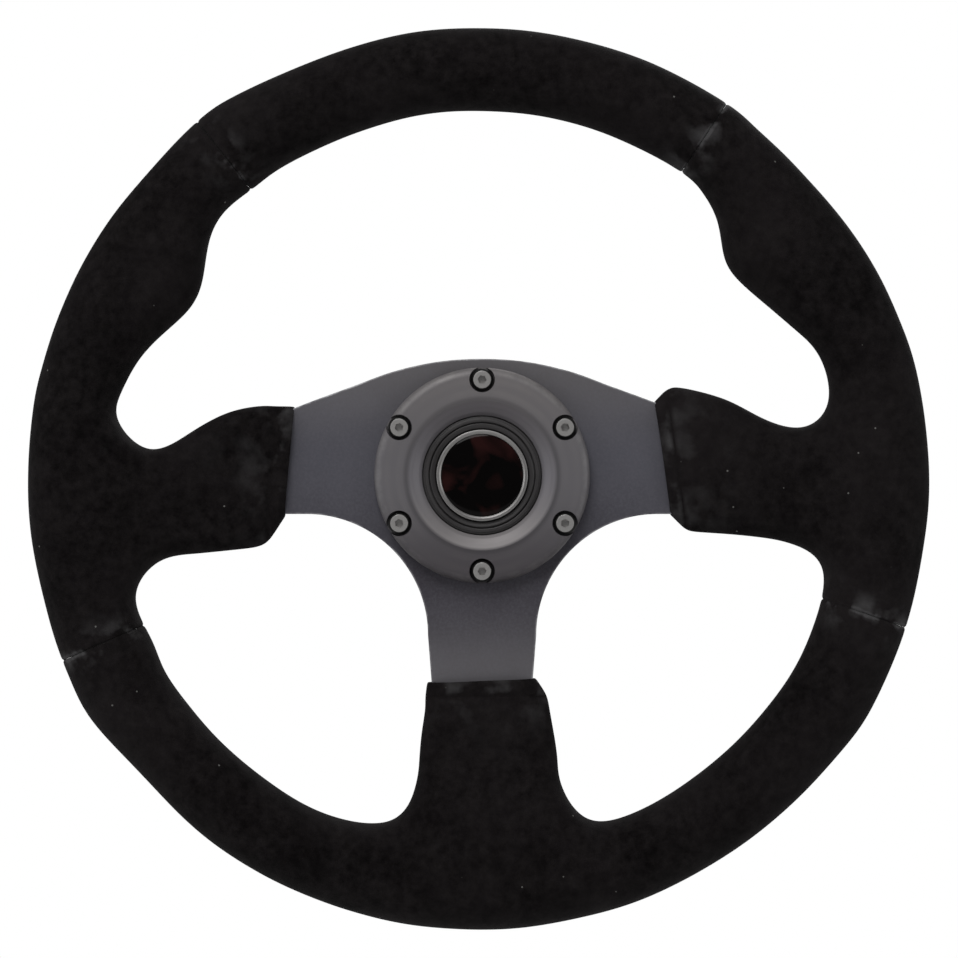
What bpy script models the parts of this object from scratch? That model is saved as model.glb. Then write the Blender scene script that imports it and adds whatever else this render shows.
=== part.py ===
"""Quick release steering wheel: a 350 mm three-spoke wheel bolted to a pull-collar coupler.

The wheel stands in the XZ plane. The driver is at -Y and looks along +Y, with +X to the right.
The origin is the centre of the coupler's rear face, where the steering column's half enters.
"""

import math

import bmesh
import bpy
from mathutils import Matrix, Vector

MM = 0.001
GAP = 0.3 * MM  # clearance kept between pieces that touch on the real wheel

# Rim: the suede-wrapped grip, an oval section swept round the hoop.
RIM_OUTER_RADIUS = 175 * MM
RIM_INNER_RADIUS = 143 * MM
RIM_HALF_DEPTH = 14.5 * MM
RIM_CENTRE = (-1.4 * MM, -1.4 * MM)  # x and z: the wrapped rim sits a little off the hub axis
HOOP_RADIUS = 158.5 * MM
HOOP_BAR_RADIUS = 5 * MM
SUEDE_THICKNESS = 1.5 * MM
SEAM_GAP = 0.5 * MM
SEAM_ANGLES = (-19, 56, 128, 203)  # degrees, between the right, top, left and bottom panels
THUMB_GRIPS = ((38.5, 16 * MM, 9.5), (148, 12.5 * MM, 10))  # angle, height and spread in degrees
CAGE_SWELL = 1.15  # how far the section's six corners stand outside the smooth skin
SLEEVE_EDGE = 8 * MM  # how far the sleeve's rounded edge reaches
SMOOTHING_ROUNDS = 12

# The rim's sections in degrees. A root is the stretch that a spoke's sleeve grows out of.
RIM_SECTION_ANGLES = {
    "right_root": (-16.5, -6, 4, 13.5),
    "top_arc": (21, 30, 38, 46, 56, 73, 92, 111, 128, 139, 148, 156, 164),
    "left_root": (171.5, 181, 190, 199.5),
    "left_arc": (209, 222, 238),
    "bottom_root": (256, 266, 276, 286),
    "right_arc": (302, 317, 331),
}
SECTION_COUNT = sum(len(angles) for angles in RIM_SECTION_ANGLES.values())

# Each sleeve runs from the rim along its spoke. A station holds the (x, z) of its two edges in
# millimetres, the first edge being the one met first when going anticlockwise, and its half depth.
SLEEVE_STATIONS = {
    "right_root": (
        ((122, -27), (124, 18.5), 10.5),
        ((98, -22.5), (99, 26.5), 7.2),
        ((76, -19), (69, 33.5), 6),
    ),
    "left_root": (
        ((-127, 10), (-126, -34), 10.5),
        ((-103, 22), (-102, -29.5), 7.2),
        ((-74.5, 27.5), (-78.5, -21), 6),
    ),
    "bottom_root": (
        ((-26, -121), (31, -121), 10.5),
        ((-23.5, -100), (28, -100), 7.2),
        ((-20.5, -81), (23.5, -81), 6),
    ),
}
POCKET_CORNERS = {  # the (x, z) where a window's edge turns from the rim into a sleeve
    -16.5: (132.5, -39),
    13.5: (135, 30),
    171.5: (-141.5, 22),
    199.5: (-135, -48),
    256: (-36, -134.5),
    286: (41.5, -133.5),
}

# Hub: six M5 screws on a 74 mm circle hold the horn's retainer ring, the plate and the coupler.
BOLT_CIRCLE_RADIUS = 37 * MM
BOLT_COUNT = 6
BOLT_RADIUS = 2.5 * MM
BOLT_HOLE_RADIUS = 2.8 * MM
BOLT_HEAD_RADIUS = 4.25 * MM
BOLT_HEAD_HEIGHT = 3.4 * MM
BOLT_LENGTH = 16 * MM
HEX_KEY_WIDTH = 4 * MM
HEX_KEY_DEPTH = 2.2 * MM
COUNTERBORE_RADIUS = 5.15 * MM
RETAINER_RADIUS = 41.4 * MM
RETAINER_HEIGHT = 6.5 * MM
RETAINER_BORE_RADIUS = 23.2 * MM
HORN_SEAT_RADIUS = 26.2 * MM
HORN_SEAT_DEPTH = 2.5 * MM

# Plate: one flat piece with two side spokes and a lower one.
PLATE_THICKNESS = 4 * MM
PLATE_BORE_RADIUS = 24 * MM
SPOKE_TIP_RADIUS = HOOP_RADIUS - HOOP_BAR_RADIUS - 2 * GAP
SIDE_TIP = (-1 * MM, -17 * MM)  # z of a side spoke's tip corners
SIDE_NECK = (73 * MM, 20 * MM, -15 * MM)  # x, and the z of its edges inside the sleeve
LOWER_TIP = 15 * MM
LOWER_NECK = (16 * MM, -80.3 * MM)  # half width inside the sleeve, and z
LOWER_SPOKE_HALF_WIDTH = 19.5 * MM
CROWN = ((0, 45.2), (17, 44), (34, 40.3), (50, 34.5), (73, 26.3))  # mm, the plate's upper edge
FILLET_CENTRE = (68 * MM, -62 * MM)
FILLET_RADIUS = 47 * MM

# Coupler: flange, barrel, splines, ball lock and collar.
COUPLER_LENGTH = 50 * MM
FLANGE_RADIUS = 42 * MM
FLANGE_THICKNESS = 8 * MM
BARREL_RADIUS = 22 * MM
PILOT_RADIUS = 17 * MM
PILOT_DEPTH = 14 * MM
SPLINE_SEAT_RADIUS = 19 * MM
SPLINE_COUNT = 18
SPLINE_ROOT_RADIUS = 16.6 * MM
SPLINE_CREST_RADIUS = 14.8 * MM
FRONT_RECESS_RADIUS = 26 * MM
FRONT_RECESS_FLOOR = -36 * MM
SHOULDER_RADIUS = 30 * MM
SHOULDER_REAR_Y = -34 * MM
BALL_COUNT = 6
BALL_RADIUS = 3 * MM
BALL_Y = -10 * MM
BALL_REST_RADIUS = 19 * MM
BALL_TRAVEL = 1.3 * MM
COLLAR_TRAVEL = 7 * MM
COLLAR_REAR_Y = -2.6 * MM
COLLAR_FRONT_Y = -24 * MM
COLLAR_SPRING_SEAT_Y = -15 * MM
COLLAR_RADIUS = 28 * MM
COLLAR_LIP_RADIUS = 31 * MM
COLLAR_SPRING_BORE_RADIUS = 26.6 * MM
COLLAR_SPRING_RADIUS = 24.3 * MM  # to the middle of the wire
COLLAR_SPRING_WIRE = 0.75 * MM  # radius
SNAP_GROOVE = (-2.6 * MM, -1.0 * MM)
SNAP_GROOVE_DEPTH = 1.5 * MM
SNAP_RING_RADIUS = 24.8 * MM

# The stack along Y, from the coupler towards the driver.
FLANGE_FRONT_Y = -COUPLER_LENGTH
FLANGE_REAR_Y = FLANGE_FRONT_Y + FLANGE_THICKNESS
PLATE_REAR_Y = FLANGE_FRONT_Y - GAP
PLATE_FRONT_Y = PLATE_REAR_Y - PLATE_THICKNESS
RIM_Y = (PLATE_REAR_Y + PLATE_FRONT_Y) / 2
RETAINER_REAR_Y = PLATE_FRONT_Y - GAP
RETAINER_FRONT_Y = RETAINER_REAR_Y - RETAINER_HEIGHT
BOLT_SEAT_Y = RETAINER_REAR_Y - 2.6 * MM
INSULATOR_REAR_Y = FRONT_RECESS_FLOOR - GAP

# Horn button, in the retainer ring's bore.
HORN_FLANGE_RADIUS = 25.8 * MM
BEZEL_REAR_Y = PLATE_FRONT_Y - 1.8 * MM
CAP_FLANGE_FRONT_Y = BEZEL_REAR_Y + GAP
CAP_REAR_Y = PLATE_FRONT_Y + 0.1 * MM
CAP_FRONT_Y = PLATE_FRONT_Y - 4.3 * MM
CAP_RADIUS = 17.5 * MM
CAP_FLANGE_RADIUS = 20.5 * MM
TRIM_REAR_Y = CAP_FRONT_Y - GAP
CUP_FLOOR_Y = PLATE_FRONT_Y + 6.3 * MM
CUP_REAR_Y = CUP_FLOOR_Y + 2 * MM
HORN_SPRING_RADIUS = 16.5 * MM  # to the middle of the wire
HORN_SPRING_WIRE = 0.4 * MM  # radius
PLUNGER_SPRING_RADIUS = 3 * MM
PLUNGER_SPRING_WIRE = 0.2 * MM


def clear_scene():
    for obj in list(bpy.data.objects):
        bpy.data.objects.remove(obj, do_unlink=True)


# ---------------------------------------------------------------- materials


def finish(name, colour, roughness, metallic):
    material = bpy.data.materials.get(name)
    if material:
        return material
    material = bpy.data.materials.new(name)
    material.use_nodes = True
    shader = material.node_tree.nodes["Principled BSDF"]
    shader.inputs["Base Color"].default_value = (*colour, 1)
    shader.inputs["Roughness"].default_value = roughness
    shader.inputs["Metallic"].default_value = metallic
    return material


def suede():
    return finish("suede", (0.008, 0.007, 0.007), 0.95, 0)


def moulded_foam():
    return finish("moulded_foam", (0.02, 0.02, 0.02), 0.8, 0)


def dark_anodised():
    return finish("dark_anodised", (0.075, 0.075, 0.09), 0.45, 0.8)


def grey_anodised():
    return finish("grey_anodised", (0.1, 0.095, 0.1), 0.4, 0.8)


def black_screw_steel():
    return finish("black_screw_steel", (0.13, 0.13, 0.13), 0.35, 1)


def bright_steel():
    return finish("bright_steel", (0.5, 0.5, 0.5), 0.3, 1)


def satin_trim():
    return finish("satin_trim", (0.22, 0.21, 0.2), 0.35, 1)


def black_plastic():
    return finish("black_plastic", (0.015, 0.015, 0.016), 0.5, 0)


def gloss_black():
    return finish("gloss_black", (0.004, 0.003, 0.003), 0.08, 0)


def brass():
    return finish("brass", (0.6, 0.42, 0.16), 0.3, 1)


# ---------------------------------------------------------------- shared tools


def keep(bm, name, material, smooth_angle=35):
    """Turns a bmesh into a named object, with its faces out and its round sides smooth."""
    bmesh.ops.recalc_face_normals(bm, faces=bm.faces)
    mesh = bpy.data.meshes.new(name)
    bm.to_mesh(mesh)
    bm.free()
    if smooth_angle:
        mesh.shade_smooth()
        mesh.set_sharp_from_angle(angle=math.radians(smooth_angle))
    mesh.materials.append(material)
    obj = bpy.data.objects.new(name, mesh)
    bpy.context.scene.collection.objects.link(obj)
    return obj


def turned(profile, segments):
    """A ring or disc turned about the Y axis from a closed profile of (radius, y)."""
    bm = bmesh.new()
    corners = [bm.verts.new((radius, y, 0)) for radius, y in profile]
    edges = [bm.edges.new((a, b)) for a, b in zip(corners, corners[1:] + corners[:1])]
    bmesh.ops.spin(
        bm,
        geom=corners + edges,
        axis=(0, 1, 0),
        cent=(0, 0, 0),
        angle=math.tau,
        steps=segments,
        use_merge=True,
    )
    bmesh.ops.remove_doubles(bm, verts=bm.verts, dist=1e-7)
    return bm


def plate_from(outlines, rear_y, front_y):
    """A flat piece cut from closed outlines of (x, z) and given its thickness along Y."""
    bm = bmesh.new()
    edges = []
    for outline in outlines:
        corners = [bm.verts.new((x, rear_y, z)) for x, z in outline]
        edges += [bm.edges.new((a, b)) for a, b in zip(corners, corners[1:] + corners[:1])]
    bmesh.ops.triangle_fill(bm, use_beauty=True, edges=edges)
    made = bmesh.ops.extrude_face_region(bm, geom=bm.faces[:])
    moved = [item for item in made["geom"] if isinstance(item, bmesh.types.BMVert)]
    bmesh.ops.translate(bm, verts=moved, vec=(0, front_y - rear_y, 0))
    return bm


def rod(radius, start, end, segments):
    """A closed cylinder between two points."""
    bm = bmesh.new()
    axis = Vector(end) - Vector(start)
    turn = axis.to_track_quat("Z", "Y").to_matrix().to_4x4()
    place = Matrix.Translation((Vector(start) + Vector(end)) / 2) @ turn
    bmesh.ops.create_cone(
        bm,
        cap_ends=True,
        segments=segments,
        radius1=radius,
        radius2=radius,
        depth=axis.length,
        matrix=place,
    )
    return bm


def arc(centre, radius, start, end, steps):
    """Points of an arc, in degrees, both ends included."""
    angles = [math.radians(start + (end - start) * i / steps) for i in range(steps + 1)]
    return [(centre[0] + radius * math.cos(a), centre[1] + radius * math.sin(a)) for a in angles]


def circle(centre, radius, segments):
    return arc(centre, radius, 0, 360, segments)[:-1]


def on_circle(radius, count, start):
    """The (x, z) places of count pieces spread evenly on a circle, from start degrees."""
    return arc((0, 0), radius, start, start + 360, count)[:-1]


def cut(obj, cutter_bm, name):
    """Cuts a hole in obj with a closed shape, which stays in the scene as a hidden wire."""
    cutter = keep(cutter_bm, name, black_plastic(), 0)
    cutter.hide_render = True
    cutter.display_type = "WIRE"
    boolean = obj.modifiers.new(name, "BOOLEAN")
    boolean.operation = "DIFFERENCE"
    boolean.solver = "EXACT"
    boolean.object = cutter


def joined(shapes):
    """Several closed shapes in one bmesh, for cutters that don't meet each other."""
    bm = bmesh.new()
    for shape in shapes:
        mesh = bpy.data.meshes.new("shape")
        shape.to_mesh(mesh)
        shape.free()
        bm.from_mesh(mesh)
        bpy.data.meshes.remove(mesh)
    return bm


def axis_empty(name, place, obj):
    """An empty on a moving piece's joint axis, with the piece as its child."""
    empty = bpy.data.objects.new(name, None)
    empty.empty_display_size = 5 * MM
    empty.location = place
    bpy.context.scene.collection.objects.link(empty)
    obj.parent = empty
    obj.matrix_parent_inverse = Matrix.Translation(-Vector(place))
    return empty


def coil(mean_radius, wire_radius, y_start, y_end, turns, steps_per_turn, sides):
    """A helical spring about the Y axis, its wire swept along the helix and capped."""
    bm = bmesh.new()
    steps = round(turns * steps_per_turn)
    low = y_start + wire_radius
    rise = y_end - y_start - 2 * wire_radius
    bmesh.ops.create_circle(
        bm,
        cap_ends=True,
        segments=sides,
        radius=wire_radius,
        matrix=Matrix.Translation((mean_radius, low, 0)),
    )
    bmesh.ops.spin(
        bm,
        geom=bm.faces[:],
        axis=(0, 1, 0),
        cent=(0, 0, 0),
        dvec=(0, rise / steps, 0),
        angle=math.tau * turns,
        steps=steps,
    )
    return bm


# ---------------------------------------------------------------- the grip's cage


def polar(radius, degrees):
    """A point of the rim's plane, as (x, z) from the hub axis."""
    angle = math.radians(degrees)
    return Vector(RIM_CENTRE) + Vector((math.cos(angle), math.sin(angle))) * radius


def inner_radius(degrees):
    """The rim's inner radius, smaller where a thumb grip swells."""
    radius = RIM_INNER_RADIUS
    for centre, height, spread in THUMB_GRIPS:
        radius -= height * math.exp(-(((degrees - centre) / spread) ** 2))
    return radius


def through(points, closed):
    """Control points whose smooth curve passes through the given points."""
    control = [point.copy() for point in points]
    last = len(points) - 1
    for _ in range(SMOOTHING_ROUNDS):
        for i, point in enumerate(points):
            if closed or 0 < i < last:
                after = control[(i + 1) % len(points)]
                control[i] = (6 * point - control[i - 1] - after) / 4
    return control


def rim_angles():
    return [angle for angles in RIM_SECTION_ANGLES.values() for angle in angles]


def window_edges():
    """The controls of each window's edge, by rim angle or by (sleeve, station, side)."""
    order = list(RIM_SECTION_ANGLES)
    controls = {}
    for before, arc_name in zip(order[::2], order[1::2]):
        after = order[(order.index(arc_name) + 1) % len(order)]
        stations = range(len(SLEEVE_STATIONS[before]))
        keys = [(before, i, 1) for i in reversed(stations)]
        keys += [RIM_SECTION_ANGLES[before][-1], *RIM_SECTION_ANGLES[arc_name]]
        keys += [RIM_SECTION_ANGLES[after][0]]
        keys += [(after, i, 0) for i in stations]
        points = [edge_point(key) for key in keys]
        controls.update(zip(keys, through(points, closed=False)))
    return controls


def edge_point(key):
    if isinstance(key, tuple):
        root, station, side = key
        return Vector(SLEEVE_STATIONS[root][station][side]) * MM
    if key in POCKET_CORNERS:
        return Vector(POCKET_CORNERS[key]) * MM
    return polar(inner_radius(key), key)


def section_corner(outer, inner, row):
    """One of the six corners of a rim section. Rows 0 and 3 are its outer and inner edges."""
    centre = (outer + inner) / 2
    half = (outer - inner) / 2
    angle = math.radians(60 * row)
    place = centre + half * CAGE_SWELL * math.cos(angle)
    return Vector((place.x, RIM_Y - RIM_HALF_DEPTH * CAGE_SWELL * math.sin(angle), place.y))


def sleeve_corner(first, second, half_depth, row, column):
    """A corner of a sleeve's section. Row 3 is its edge, and rows 2 and 4 its front and back."""
    along = (second - first).normalized()
    near = first + along * SLEEVE_EDGE * 2 / 3
    far = second - along * SLEEVE_EDGE * 2 / 3
    place = near.lerp(far, column / 3)
    if row == 3 and column in (0, 3):
        place += along * SLEEVE_EDGE * (1 if column else -1)
    y = RIM_Y + {2: -1, 3: 0, 4: 1}[row] * half_depth
    return Vector((place.x, y, place.y))


def spun_ring(bm):
    """A plain ring of six-sided sections, each corner marked with its row and section."""
    row = bm.verts.layers.int.new("row")
    section = bm.verts.layers.int.new("section")
    middle = (RIM_OUTER_RADIUS + RIM_INNER_RADIUS) / 2
    place = Matrix.Translation((middle, 0, 0)) @ Matrix.Rotation(math.radians(30), 4, "Z")
    made = bmesh.ops.create_circle(bm, segments=6, radius=RIM_HALF_DEPTH, matrix=place)
    for corner in made["verts"]:
        turn = math.atan2(-corner.co.y, corner.co.x - middle)
        corner[row] = round(math.degrees(turn) / 60) % 6
    bmesh.ops.spin(
        bm,
        geom=bm.verts[:] + bm.edges[:],
        axis=(0, 1, 0),
        cent=(0, 0, 0),
        angle=math.tau,
        steps=SECTION_COUNT,
        use_merge=True,
    )
    for corner in bm.verts:
        turn = math.atan2(corner.co.z, corner.co.x) / math.tau
        corner[section] = round(turn * SECTION_COUNT) % SECTION_COUNT
    return row, section


def grip_cage():
    """The coarse cage of the whole grip: the rim's ring with three sleeves drawn out of it."""
    bm = bmesh.new()
    row, section = spun_ring(bm)
    angles = rim_angles()
    outer = through([polar(RIM_OUTER_RADIUS, angle) for angle in angles], closed=True)
    edges = window_edges()
    for corner in bm.verts:
        angle = angles[corner[section]]
        inner = edges.get(angle, polar(RIM_INNER_RADIUS, angle))
        corner.co = section_corner(outer[corner[section]], inner, corner[row])
    mouths = []
    for root, stations in SLEEVE_STATIONS.items():
        first = angles.index(RIM_SECTION_ANGLES[root][0])
        columns = range(first, first + 4)
        cap = [
            face
            for face in bm.faces
            if all(v[section] in columns and v[row] in (2, 3, 4) for v in face.verts)
        ]
        for i, (_, _, half_depth) in enumerate(stations):
            made = bmesh.ops.extrude_face_region(bm, geom=cap)["geom"]
            bmesh.ops.delete(bm, geom=cap, context="FACES")
            cap = [item for item in made if isinstance(item, bmesh.types.BMFace)]
            near, far = edges[(root, i, 0)], edges[(root, i, 1)]
            for corner in {v for face in cap for v in face.verts}:
                column = corner[section] - first
                corner.co = sleeve_corner(near, far, half_depth * MM, corner[row], column)
        mouths += cap
    bmesh.ops.recalc_face_normals(bm, faces=bm.faces)
    bmesh.ops.delete(bm, geom=mouths, context="FACES")
    return bm


def grip_skin():
    """The smooth outer skin of the wrapped grip, open at the three sleeve mouths."""
    bm = grip_cage()
    mesh = bpy.data.meshes.new("grip_skin")
    bm.to_mesh(mesh)
    bm.free()
    cage = bpy.data.objects.new("grip_cage", mesh)
    bpy.context.scene.collection.objects.link(cage)
    smooth = cage.modifiers.new("smooth", "SUBSURF")
    smooth.levels = 1
    smooth.render_levels = 1
    graph = bpy.context.evaluated_depsgraph_get()
    skin = bpy.data.meshes.new_from_object(cage.evaluated_get(graph))
    bpy.data.objects.remove(cage, do_unlink=True)
    bm = bmesh.new()
    bm.from_mesh(skin)
    bmesh.ops.triangulate(bm, faces=bm.faces)
    bm.to_mesh(skin)
    bm.free()
    return skin


# ---------------------------------------------------------------- grip, hoop and plate


def cut_seam(bm, degrees):
    """Opens a narrow gap across the rim where two suede panels are sewn together."""
    place = polar(RIM_OUTER_RADIUS, degrees)
    angle = math.radians(degrees)
    across = Vector((-math.sin(angle), 0, math.cos(angle)))
    origin = Vector((place.x, RIM_Y, place.y))
    reach = 2 * (RIM_OUTER_RADIUS - RIM_INNER_RADIUS)
    for side in (-1, 1):
        near = [face for face in bm.faces if (face.calc_center_median() - origin).length < reach]
        parts = near + list({edge for face in near for edge in face.edges})
        parts += list({corner for face in near for corner in face.verts})
        place = origin + across * side * SEAM_GAP / 2
        bmesh.ops.bisect_plane(bm, geom=parts, dist=1e-6, plane_co=place, plane_no=across)
    strip = []
    for face in bm.faces:
        offset = face.calc_center_median() - origin
        if offset.length < reach and abs(offset.dot(across)) < SEAM_GAP / 2:
            strip.append(face)
    bmesh.ops.delete(bm, geom=strip, context="FACES")


def suede_panels(skin):
    """The four suede panels, sewn together across the rim and open along each sleeve's mouth."""
    bounds = list(SEAM_ANGLES) + [SEAM_ANGLES[0] + 360]
    for name, low, high in zip(("right", "top", "left", "bottom"), bounds, bounds[1:]):
        bm = bmesh.new()
        bm.from_mesh(skin)
        for seam in SEAM_ANGLES:
            cut_seam(bm, seam)
        others = []
        for face in bm.faces:
            middle = face.calc_center_median()
            turn = math.degrees(math.atan2(middle.z - RIM_CENTRE[1], middle.x - RIM_CENTRE[0]))
            if not low < (turn - low) % 360 + low < high:
                others.append(face)
        bmesh.ops.delete(bm, geom=others, context="FACES")
        mesh = bpy.data.meshes.new(f"suede_{name}")
        bm.to_mesh(mesh)
        bm.free()
        mesh.shade_smooth()
        mesh.materials.append(suede())
        panel = bpy.data.objects.new(f"suede_{name}", mesh)
        bpy.context.scene.collection.objects.link(panel)
        wall = panel.modifiers.new("wall", "SOLIDIFY")
        wall.thickness = SUEDE_THICKNESS
        wall.offset = -1


def grip_foam(skin):
    """Moulded polyurethane under the suede, with the hoop's channel and a slot for each spoke."""
    bm = bmesh.new()
    bm.from_mesh(skin)
    bm.normal_update()
    inward = {corner: corner.normal * (SUEDE_THICKNESS + GAP) for corner in bm.verts}
    for corner, step in inward.items():
        corner.co -= step
    bmesh.ops.holes_fill(bm, edges=[edge for edge in bm.edges if edge.is_boundary])
    foam = keep(bm, "grip_foam", moulded_foam(), 60)
    channel = hoop_shape(HOOP_BAR_RADIUS + GAP)
    cut(foam, channel, "hoop_channel")
    for name, outline in (
        ("right_slot", side_slot(1, 2 * GAP)),
        ("left_slot", side_slot(-1, 2 * GAP)),
        ("lower_slot", lower_slot(2 * GAP)),
    ):
        cut(foam, plate_from([outline], PLATE_REAR_Y + GAP, PLATE_FRONT_Y - GAP), name)


def hoop_shape(bar_radius):
    bm = bmesh.new()
    middle = Matrix.Translation((HOOP_RADIUS, 0, 0))
    bmesh.ops.create_circle(bm, segments=6, radius=bar_radius, matrix=middle)
    bmesh.ops.spin(
        bm,
        geom=bm.verts[:] + bm.edges[:],
        axis=(0, 1, 0),
        cent=(0, 0, 0),
        angle=math.tau,
        steps=42,
        use_merge=True,
    )
    bmesh.ops.translate(bm, verts=bm.verts, vec=(RIM_CENTRE[0], RIM_Y, RIM_CENTRE[1]))
    bmesh.ops.recalc_face_normals(bm, faces=bm.faces)
    return bm


def rim_hoop():
    """The round steel bar inside the grip, welded to the spoke tips."""
    keep(hoop_shape(HOOP_BAR_RADIUS), "rim_hoop", bright_steel())


def tip_x(z, side):
    """Where a side spoke's tip meets the hoop at height z."""
    return RIM_CENTRE[0] + side * math.sqrt(SPOKE_TIP_RADIUS**2 - (z - RIM_CENTRE[1]) ** 2)


def tip_z(x):
    return RIM_CENTRE[1] - math.sqrt(SPOKE_TIP_RADIUS**2 - (x - RIM_CENTRE[0]) ** 2)


def side_tip(side, steps=4):
    """The curved end of a side spoke, from its upper corner to its lower one."""
    heights = [SIDE_TIP[0] + (SIDE_TIP[1] - SIDE_TIP[0]) * i / steps for i in range(steps + 1)]
    return [(tip_x(z, side), z) for z in heights]


def side_slot(side, room):
    """The slot in the foam round a side spoke, with room to spare."""
    neck_x, upper_z, lower_z = SIDE_NECK
    crown_z = CROWN[-1][1] * MM + room
    corners = [
        (neck_x - 12 * MM, crown_z + 4.5 * MM),
        (neck_x + room, crown_z),
        (neck_x + room, upper_z + room),
        (HOOP_RADIUS, SIDE_TIP[0] + room),
        (HOOP_RADIUS, SIDE_TIP[1] - room),
        (neck_x - 12 * MM, lower_z - room),
    ]
    return [(side * x, z) for x, z in corners]


def lower_slot(room):
    """The slot in the foam round the lower spoke."""
    half_width, neck_z = LOWER_NECK
    top = neck_z + 3 * MM
    left = [(-half_width - room, top), (-LOWER_TIP - room, -HOOP_RADIUS)]
    return left + [(-x, z) for x, z in reversed(left)]


def smooth_line(points, steps):
    """A smooth curve through the points, by Catmull-Rom spans."""
    ends = [2 * points[0] - points[1], *points, 2 * points[-1] - points[-2]]
    line = []
    for a, b, c, d in zip(ends, ends[1:], ends[2:], ends[3:]):
        for i in range(steps):
            t = i / steps
            bend = (2 * a - 5 * b + 4 * c - d) * t * t + (3 * b - a - 3 * c + d) * t**3
            line.append((2 * b + (c - a) * t + bend) / 2)
    return line + [points[-1]]


def half_outline(side):
    """The plate's edge on one side, from the crown down to the lower spoke's tip."""
    crown = smooth_line([Vector(point) * MM for point in CROWN], 3)
    neck_x, upper_z, lower_z = SIDE_NECK
    edge = [(side * point.x, point.y) for point in crown]
    edge.append((side * neck_x, upper_z))
    edge += side_tip(side)
    edge.append((side * neck_x, lower_z))
    fillet = arc(FILLET_CENTRE, FILLET_RADIUS, 90, 180, 10)
    edge += [(side * x, z) for x, z in fillet]
    edge.append((side * LOWER_SPOKE_HALF_WIDTH, LOWER_NECK[1]))
    edge.append((side * LOWER_NECK[0], LOWER_NECK[1]))
    edge.append((side * LOWER_TIP, tip_z(side * LOWER_TIP)))
    return edge


def spoke_plate():
    """The flat three-spoke plate, with its centre bore and six bolt holes."""
    right = half_outline(1)
    left = half_outline(-1)
    outline = right + [(0, tip_z(0))] + left[:0:-1]
    holes = [circle((0, 0), PLATE_BORE_RADIUS, 32)]
    for place in on_circle(BOLT_CIRCLE_RADIUS, BOLT_COUNT, 30):
        holes.append(circle(place, BOLT_HOLE_RADIUS, 8))
    bm = plate_from([outline, *holes], PLATE_REAR_Y, PLATE_FRONT_Y)
    keep(bm, "spoke_plate", dark_anodised())


# ---------------------------------------------------------------- hub


def horn_retainer_ring():
    """The turned ring that clamps the horn button. Its face has a counterbore for each screw."""
    rear, front = RETAINER_REAR_Y, RETAINER_FRONT_Y
    funnel = [(28.6, 0), (26.6, 0.9), (24.4, 2.1)]
    seat = rear - HORN_SEAT_DEPTH
    profile = [
        (RETAINER_RADIUS, rear),
        (RETAINER_RADIUS, front + 2 * MM),
        (RETAINER_RADIUS - 2 * MM, front),
    ]
    profile += [(radius * MM, front + depth * MM) for radius, depth in funnel]
    profile += [
        (RETAINER_BORE_RADIUS, front + 3.4 * MM),
        (RETAINER_BORE_RADIUS, seat),
        (HORN_SEAT_RADIUS, seat),
        (HORN_SEAT_RADIUS, rear),
    ]
    ring = keep(turned(profile, 32), "horn_retainer_ring", grey_anodised())
    holes = []
    for x, z in on_circle(BOLT_CIRCLE_RADIUS, BOLT_COUNT, 30):
        holes.append(rod(BOLT_HOLE_RADIUS, (x, rear + 5 * MM, z), (x, front - MM, z), 8))
    cut(ring, joined(holes), "retainer_holes")
    bores = []
    for x, z in on_circle(BOLT_CIRCLE_RADIUS, BOLT_COUNT, 30):
        bores.append(rod(COUNTERBORE_RADIUS, (x, BOLT_SEAT_Y, z), (x, front - MM, z), 12))
    cut(ring, joined(bores), "retainer_counterbores")


def clamp_bolt_mesh():
    """An M5 low-head socket screw along Y, its head's seat at y = 0."""
    head = BOLT_HEAD_HEIGHT
    profile = [
        (0, BOLT_LENGTH),
        (BOLT_RADIUS - 0.5 * MM, BOLT_LENGTH),
        (BOLT_RADIUS, BOLT_LENGTH - 0.5 * MM),
        (BOLT_RADIUS, 0),
        (BOLT_HEAD_RADIUS, 0),
        (BOLT_HEAD_RADIUS, -head + 0.9 * MM),
        (BOLT_HEAD_RADIUS - 0.9 * MM, -head),
        (0, -head),
    ]
    return turned(profile, 12)


def clamp_bolts():
    socket_radius = HEX_KEY_WIDTH / math.sqrt(3)
    for i, (x, z) in enumerate(on_circle(BOLT_CIRCLE_RADIUS, BOLT_COUNT, 90), 1):
        bolt = keep(clamp_bolt_mesh(), f"clamp_bolt_{i}", black_screw_steel())
        top = -BOLT_HEAD_HEIGHT
        key = rod(socket_radius, (0, top + HEX_KEY_DEPTH, 0), (0, top - MM, 0), 6)
        cut(bolt, key, f"hex_key_{i}")
        place = (x, BOLT_SEAT_Y - GAP, z)
        bolt.location = place
        bpy.data.objects[f"hex_key_{i}"].location = place


# ---------------------------------------------------------------- horn button


def horn_bezel():
    """The ribbed black plastic front of the horn button, clamped under the retainer's lip."""
    lip_y = RETAINER_REAR_Y - HORN_SEAT_DEPTH + GAP
    ribs = [(22.8, 2.2), (21.4, 1.2), (20.1, 2.6), (18.9, 1.6), (17.9, 2.6)]
    profile = [(HORN_FLANGE_RADIUS, BEZEL_REAR_Y), (HORN_FLANGE_RADIUS, lip_y), (22.8 * MM, lip_y)]
    profile += [(radius * MM, BEZEL_REAR_Y - height * MM) for radius, height in ribs]
    profile.append((17.9 * MM, BEZEL_REAR_Y))
    keep(turned(profile, 28), "horn_bezel", black_plastic(), 25)


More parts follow.
